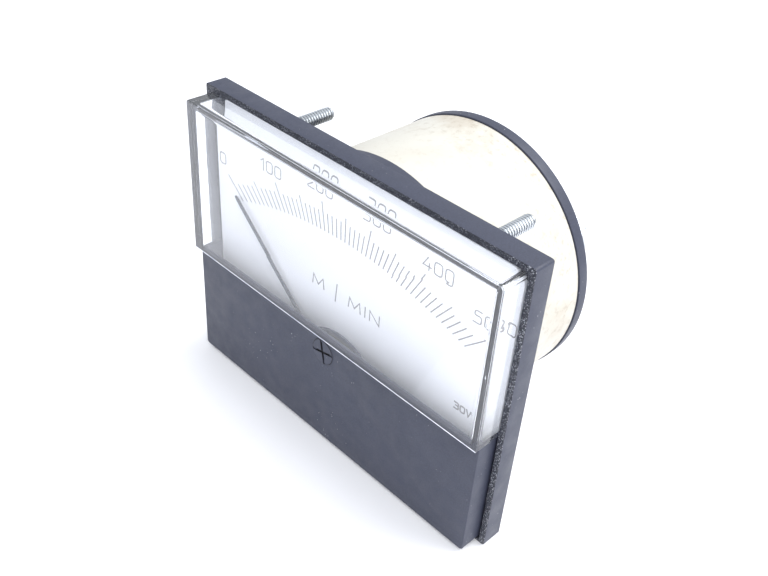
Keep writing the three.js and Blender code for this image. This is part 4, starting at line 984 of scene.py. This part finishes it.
class METER_OT_dial(bpy.types.Operator):
    """Dial plate, notched round the movement"""
    bl_idname = "meter.dial"
    bl_label = "Dial plate"
    bl_options = {"REGISTER", "UNDO"}

    def execute(self, context):
        dial = context.scene.meter_dial
        plate = prism(rounded(DIAL_LO.x, DIAL_HI.x, DIAL_LO.z, DIAL_HI.z, dial.corner),
                      DIAL_LO.y, DIAL_HI.y)
        screw_bore, plate_edge = MM, 0.08 * MM
        notch = RING_RADIUS + dial.notch_gap
        cut = [rod(notch, DIAL_LO.y - MM, DIAL_HI.y + MM, 0, PIVOT.z, LARGE_CIRCLE)]
        for side in SIDES:
            _, _, x, z = centre_of("dial_screw_" + side)
            cut.append(rod(screw_bore, DIAL_LO.y - MM, DIAL_HI.y + MM, x, z, SMALL_CIRCLE))
        bm = combined(plate, cut=cut)
        bevelled(bm, plate_edge, 2, 50)
        piece("dial_face", bm, look("dial paint"), stands_for=["dial_plate"])
        clear, thick, rounding = 0.05 * MM, 0.4 * MM, 0.1 * MM
        inner = notch - 0.35 * MM
        front = DIAL_LO.y - clear - thick
        shield = pipe(inner, dial.shield_radius, front, front + thick, 0, PIVOT.z, rounding,
                      LARGE_CIRCLE)
        piece("movement_shield", shield, look("shield paint"))
        return {"FINISHED"}


class METER_OT_scale(bpy.types.Operator):
    """Marks of the scale, fifty steps from 0 to 500"""
    bl_idname = "meter.scale"
    bl_label = "Scale marks"
    bl_options = {"REGISTER", "UNDO"}

    def execute(self, context):
        dial = context.scene.meter_dial
        y0, y1 = dial_y(dial)
        arc = dial.baseline_radius
        arc_z = DIAL_CENTRE_Z + dial.baseline_top - arc
        marks = []
        divisions, long_every, middle_every = 50, 10, 5
        for step in range(divisions + 1):
            angle = -SWING / 2 + SWING * step / divisions
            way = Vector((math.sin(angle), math.cos(angle)))
            start = Vector((0, PIVOT.z - arc_z))
            along = way.dot(start)
            near = -along + math.sqrt(along ** 2 - start.length_squared + arc ** 2)
            mark = dial.short_mark
            if step % long_every == 0:
                mark = dial.long_mark
            elif step % middle_every == 0:
                mark = dial.middle_mark
            foot = Vector((0, PIVOT.z)) + way * near
            marks.append(ribbon([foot, foot + way * mark], dial.stroke, y0, y1))
        piece("scale_marks", together(marks), look("printed ink"))
        return {"FINISHED"}


class METER_OT_numbers(bpy.types.Operator):
    """Numbers and the unit printed on the dial"""
    bl_idname = "meter.numbers"
    bl_label = "Numbers"
    bl_options = {"REGISTER", "UNDO"}

    def execute(self, context):
        dial = context.scene.meter_dial
        y0, y1 = dial_y(dial)
        # Each text stands a number of millimetres right of and above the dial's middle.
        places = (("0", -43.4, 21.0), ("100", -25.3, 25.9), ("200", -8.5, 28.8),
                  ("300", 9.3, 28.8), ("400", 27.0, 25.8), ("500", 41.3, 21.1))
        printed = []
        for text, x, z in places:
            printed += lettering(text, x * MM, DIAL_CENTRE_Z + z * MM, dial.numeral, dial.stroke,
                                 y0, y1)
        printed += lettering("M / MIN", 0.9 * MM, DIAL_CENTRE_Z + 3.6 * MM, dial.unit_height,
                             dial.stroke * 1.15, y0, y1, dial.unit_gap / dial.unit_height)
        printed += lettering("30V", 37.9 * MM, DIAL_CENTRE_Z - 4.6 * MM, dial.numeral * 0.58,
                             dial.stroke * 1.3, y0, y1)
        piece("scale_numbers", together(printed), look("printed ink"))
        return {"FINISHED"}


class METER_OT_pointer(bpy.types.Operator):
    """Pointer blade with its eye"""
    bl_idname = "meter.pointer"
    bl_label = "Pointer"
    bl_options = {"REGISTER", "UNDO"}

    def execute(self, context):
        reach = math.hypot(POINTER_LO.x, POINTER_HI.z - PIVOT.z)
        half, eye, bore, edge = 0.5 * MM, 1.7 * MM, 0.6 * MM, 0.1 * MM
        tip = half * 0.4
        neck_z, tip_z = reach - 0.9 * MM, reach - 0.1 * MM
        y0, y1 = POINTER_LO.y, POINTER_HI.y
        blade = prism([(half, 0), (half, neck_z), (tip, tip_z), (-tip, tip_z), (-half, neck_z),
                       (-half, 0)], y0, y1)
        bm = combined(blade, [rod(eye, y0, y1, steps=40)],
                      [rod(bore, y0 - MM, y1 + MM, steps=SMALL_CIRCLE)])
        bevelled(bm, edge, 2, 50)
        turn_and_move(bm, -SWING / 2, (0, 0, PIVOT.z))
        piece("pointer_blade", bm, look("pointer paint"), "movement", ["pointer"])
        return {"FINISHED"}


class METER_OT_sleeve(bpy.types.Operator):
    """Painted sleeve round the barrel, its rims turned in a little"""
    bl_idname = "meter.sleeve"
    bl_label = "Barrel sleeve"
    bl_options = {"REGISTER", "UNDO"}

    def execute(self, context):
        wall, lip, turned_in = 1.5 * MM, 0.5 * MM, 0.15 * MM
        outer = SLEEVE_RADIUS
        inner, rim = outer - wall, outer - turned_in
        y0, y1 = SLEEVE_LO.y, SLEEVE_HI.y
        profile = soften([(inner, y0), (rim, y0), (outer, y0 + lip), (outer, y1 - lip),
                          (rim, y1), (inner, y1)], lip, cuts=3)
        bm = turned(profile, 0, BARREL_Z, 128, loop=True)
        piece("painted_sleeve", bm, look("cream paint"),
              stands_for=["barrel_sleeve"])
        return {"FINISHED"}


class METER_OT_rear_cover(bpy.types.Operator):
    """Round cover that closes the barrel"""
    bl_idname = "meter.rear_cover"
    bl_label = "Rear cover"
    bl_options = {"REGISTER", "UNDO"}

    def execute(self, context):
        outer = (REAR_HI.x - REAR_LO.x) / 2
        spigot, chamfer = SLEEVE_RADIUS - 1.7 * MM, 0.3 * MM
        face, seat = REAR_HI.y, SLEEVE_HI.y + 0.05 * MM
        profile = [(spigot - chamfer, REAR_LO.y), (spigot, REAR_LO.y + chamfer), (spigot, seat)]
        profile += soften([(outer - 0.4 * MM, seat), (outer, seat), (outer, face),
                           (outer - 3 * MM, face)], 0.8 * MM, closed=False)
        groove, groove_depth, groove_top, groove_bottom = 30.9 * MM, 0.35 * MM, 0.5 * MM, 0.3 * MM
        profile += [(groove + groove_top, face), (groove + groove_bottom, face - groove_depth),
                    (groove - groove_bottom, face - groove_depth), (groove - groove_top, face)]
        body = turned(profile, 0, BARREL_Z, 128)
        cut = []
        terminal_bore, screw_bore = 2.6 * MM, 1.5 * MM
        for side in SIDES:
            _, _, x, z = centre_of("terminal_nut_" + side)
            cut.append(rod(terminal_bore, REAR_LO.y - MM, face + MM, x, z, 32))
        for where in SCREW_PLACES:
            _, _, x, z = centre_of("case_screw_" + where)
            cut.append(rod(screw_bore, REAR_LO.y - MM, face + MM, x, z, SMALL_CIRCLE))
        bm = combined(body, cut=cut)
        piece("end_cover", bm, look("moulded black"), stands_for=["rear_cover"])
        return {"FINISHED"}


class METER_OT_terminals(bpy.types.Operator):
    """Terminal studs with their washers and nuts"""
    bl_idname = "meter.terminals"
    bl_label = "Terminals"
    bl_options = {"REGISTER", "UNDO"}

    def execute(self, context):
        sizes = context.scene.meter_hardware
        chamfer, thick, shank, relief = 0.3 * MM, 2 * MM, 2.1 * MM, 0.1 * MM
        thread, depth, root = 2.5 * MM, 0.46 * MM, 2.2 * MM
        washer_bore, washer_edge = 2.6 * MM, 0.3 * MM
        for side in SIDES:
            lo, hi, x, z = centre_of("terminal_stud_" + side)
            start = lo.y + thick + relief
            lead_in = stud_head((hi.x - lo.x) / 2, lo.y, chamfer, thick, shank)
            bm = threaded(lead_in, thread, sizes.terminal_pitch, depth, start, hi.y, x, z, 40)
            paint_root_shade(bm, x, z, root, start)
            piece("terminal_screw_" + side, bm, [look("zinc"), look("thread root painted shade")],
                  stands_for=["terminal_stud_" + side], sharp=50)
            lo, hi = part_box("terminal_washer_" + side)
            washer = pipe(washer_bore, (hi.x - lo.x) / 2, lo.y, hi.y, x, z, washer_edge)
            piece("terminal_ring_" + side, washer, look("zinc"),
                  stands_for=["terminal_washer_" + side])
            lo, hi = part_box("terminal_nut_" + side)
            nut = hex_nut(sizes.nut_flats, thread, lo.y, hi.y, x, z)
            piece("terminal_hex_" + side, nut, look("zinc"),
                  stands_for=["terminal_nut_" + side], sharp=25)
        return {"FINISHED"}


class METER_OT_case_screws(bpy.types.Operator):
    """Slotted screws that hold the rear cover"""
    bl_idname = "meter.case_screws"
    bl_label = "Case screws"
    bl_options = {"REGISTER", "UNDO"}

    def execute(self, context):
        half = context.scene.meter_hardware.slot_width / 2
        shank, chamfer, head_depth, rim, slot_depth = 1.4 * MM, 0.3 * MM, 1.6 * MM, 0.7 * MM, 0.8 * MM
        crown, dome_steps, first_turn, next_turn = 0.35, 8, 25, 47
        for index, where in enumerate(SCREW_PLACES):
            lo, hi, x, z = centre_of("case_screw_" + where)
            head = (hi.x - lo.x) / 2
            under = hi.y - head_depth
            profile = [(shank - chamfer, lo.y), (shank, lo.y + chamfer), (shank, under),
                       (head, under), (head, under + rim)]
            for k in range(1, dome_steps):
                a = math.radians(90 * k / dome_steps)
                profile.append((head * (crown + (1 - crown) * math.cos(a)),
                                under + rim + (head_depth - rim) * math.sin(a)))
            body = turned(profile, x, z, 48)
            slot = block(-head * 1.2, head * 1.2, hi.y - slot_depth, hi.y + MM, -half, half)
            turn_and_move(slot, math.radians(first_turn + next_turn * index), (x, 0, z))
            bm = combined(body, cut=[slot])
            piece("cover_screw_" + where, bm, look("zinc"),
                  stands_for=["case_screw_" + where])
        return {"FINISHED"}


class METER_OT_mounting_studs(bpy.types.Operator):
    """Four threaded studs that fix the meter to its panel"""
    bl_idname = "meter.mounting_studs"
    bl_label = "Mounting studs"
    bl_options = {"REGISTER", "UNDO"}

    def execute(self, context):
        scene = context.scene
        face = FLANGE_LO.y + scene.meter_case.flange_thickness
        chamfer, thick, shank, relief = 0.2 * MM, 1.1 * MM, 1.5 * MM, 0.1 * MM
        thread, depth = 1.75 * MM, 0.42 * MM
        for corner in STUD_CORNERS:
            lo, hi, x, z = centre_of("stud_" + corner)
            lead_in = stud_head((hi.x - lo.x) / 2, lo.y, chamfer, thick, shank)
            lead_in.append((shank, face))
            bm = threaded(lead_in, thread, scene.meter_hardware.stud_pitch, depth, face + relief,
                          hi.y, x, z, 36)
            paint_root_shade(bm, x, z, shank, face)
            piece("panel_stud_" + corner, bm, [look("zinc"), look("thread root painted shade")],
                  stands_for=["stud_" + corner], sharp=50)
        return {"FINISHED"}


# CAD nodes that keep their shape, by finish.
INNER_FINISHES = {
    "spring steel": ["adjuster_clip", "front_pivot", "rear_pivot"],
    "soft iron": ["return_ring"],
    "magnet": ["core_magnet"],
    "brass": ["core_spacer_top", "core_spacer_bottom", "front_bridge", "rear_bridge",
              "balance_weight_tail", "balance_weight_left", "balance_weight_right",
              "case_post_top", "case_post_left", "case_post_right"],
    "bronze": ["zero_lever", "front_hairspring", "rear_hairspring", "stop_pin_left",
               "stop_pin_right", "solder_tag_left", "solder_tag_right"],
    "aluminium": ["chassis_plate", "pointer_hub", "coil_former"],
    "copper winding": ["moving_coil"],
    "zinc": ["dial_screw_left", "dial_screw_right", "movement_screw_left",
             "movement_screw_right", "front_jewel_screw", "rear_jewel_screw",
             "front_bridge_screw_left", "front_bridge_screw_right"],
    "resistor coat": ["multiplier_resistor"],
    "wire insulation": ["bridge_lead", "ring_lead", "resistor_lead"],
}


class METER_OT_inner_finishes(bpy.types.Operator):
    """Finishes of the movement and of the other parts inside"""
    bl_idname = "meter.inner_finishes"
    bl_label = "Movement finishes"
    bl_options = {"REGISTER", "UNDO"}

    def execute(self, context):
        for name, nodes in INNER_FINISHES.items():
            for node in nodes:
                part = frame["nodes"][node]
                part.data.materials.clear()
                part.data.materials.append(look(name))
        return {"FINISHED"}


# Name, place and size in metres, and power in watts.
LAMPS = (
    ("top_softbox", (0.30, 0.45, 0.9), 0.9, 10),
    ("front_softbox", (0.45, -0.60, 0.75), 0.9, 5),
    ("side_softbox", (0.9, -0.15, 0.30), 0.7, 2.2),
)
LAMPS_AIM = Vector((0, 0, 0.03))
SKY_COLOUR = (0.92, 0.95, 1.0, 1)
SKY_STRENGTH = 0.955
CAMERA_PLACE = Vector((0.12474, -0.14376, 0.17139))
CAMERA_AIM = Vector((-0.00148, -0.0084, 0.03614))
CAMERA_ROLL = math.radians(4.51)
CAMERA_LENS = 43.97


def faced(at, toward):
    """Turn that points a lamp or camera at a place."""
    return (toward - at).to_track_quat("-Z", "Y")


class METER_OT_stage(bpy.types.Operator):
    """Pale floor, soft lamps and the camera"""
    bl_idname = "meter.stage"
    bl_label = "Stage"
    bl_options = {"REGISTER", "UNDO"}

    def execute(self, context):
        scene = context.scene
        self.slab(scene)
        world = bpy.data.worlds.new("studio")
        world.use_nodes = True
        sky = world.node_tree.nodes["Background"]
        sky.inputs["Color"].default_value = SKY_COLOUR
        sky.inputs["Strength"].default_value = SKY_STRENGTH
        scene.world = world
        for name, at, size, power in LAMPS:
            self.lamp(scene, name, Vector(at), size, power)
        self.camera(scene)
        scene.view_settings.view_transform = "Standard"
        return {"FINISHED"}

    def slab(self, scene):
        """Floor slab, its top a hair under the meter."""
        half, thick, gap = 3, 0.01, 0.05 * MM
        bm = prism([(-half, -half), (half, -half), (half, half), (-half, half)], -thick, 0)
        for v in bm.verts:
            v.co = Vector((v.co.x, v.co.z, v.co.y - gap))
        mesh = bpy.data.meshes.new("studio_floor")
        bmesh.ops.recalc_face_normals(bm, faces=bm.faces)
        bm.to_mesh(mesh)
        bm.free()
        mesh.materials.append(look("studio floor"))
        floor = bpy.data.objects.new("studio_floor", mesh)
        scene.collection.objects.link(floor)
        return floor

    def lamp(self, scene, name, at, size, power):
        data = bpy.data.lights.new(name, "AREA")
        data.shape = "DISK"
        data.size = size
        data.energy = power
        lamp = bpy.data.objects.new(name, data)
        lamp.location = at
        lamp.rotation_euler = faced(at, LAMPS_AIM).to_euler()
        scene.collection.objects.link(lamp)

    def camera(self, scene):
        data = bpy.data.cameras.new("camera")
        data.lens = CAMERA_LENS
        data.sensor_width = 36
        data.clip_start = 0.01
        camera = bpy.data.objects.new("camera", data)
        turn = faced(CAMERA_PLACE, CAMERA_AIM).to_matrix() @ Matrix.Rotation(CAMERA_ROLL, 3, "Z")
        camera.matrix_world = Matrix.Translation(CAMERA_PLACE) @ turn.to_4x4()
        scene.collection.objects.link(camera)
        scene.camera = camera


STEPS = (
    METER_OT_bezel, METER_OT_window, METER_OT_lower_cover, METER_OT_adjuster, METER_OT_dial,
    METER_OT_scale, METER_OT_numbers, METER_OT_pointer, METER_OT_sleeve, METER_OT_rear_cover,
    METER_OT_terminals, METER_OT_case_screws, METER_OT_mounting_studs,
    METER_OT_inner_finishes, METER_OT_stage)


class METER_PT_panel(bpy.types.Panel):
    """Settings and steps of the panel meter"""
    bl_idname = "METER_PT_panel"
    bl_label = "Panel meter"
    bl_space_type = "VIEW_3D"
    bl_region_type = "UI"
    bl_category = "Panel meter"

    def draw(self, context):
        for key, group in GROUPS.items():
            box = self.layout.box()
            for prop in group.__annotations__:
                box.prop(getattr(context.scene, key), prop)
        for step in STEPS:
            self.layout.operator(step.bl_idname)


def register():
    for group in GROUPS.values():
        bpy.utils.register_class(group)
    for key, group in GROUPS.items():
        setattr(bpy.types.Scene, key, bpy.props.PointerProperty(type=group))
    for step in STEPS:
        bpy.utils.register_class(step)
    bpy.utils.register_class(METER_PT_panel)


def unregister():
    bpy.utils.unregister_class(METER_PT_panel)
    for step in reversed(STEPS):
        bpy.utils.unregister_class(step)
    for key, group in GROUPS.items():
        delattr(bpy.types.Scene, key)
        bpy.utils.unregister_class(group)


def main():
    register()
    for step in STEPS:
        group, name = step.bl_idname.split(".")
        getattr(getattr(bpy.ops, group), name)()
    bpy.context.view_layer.update()


if __name__ == "__main__":
    main()
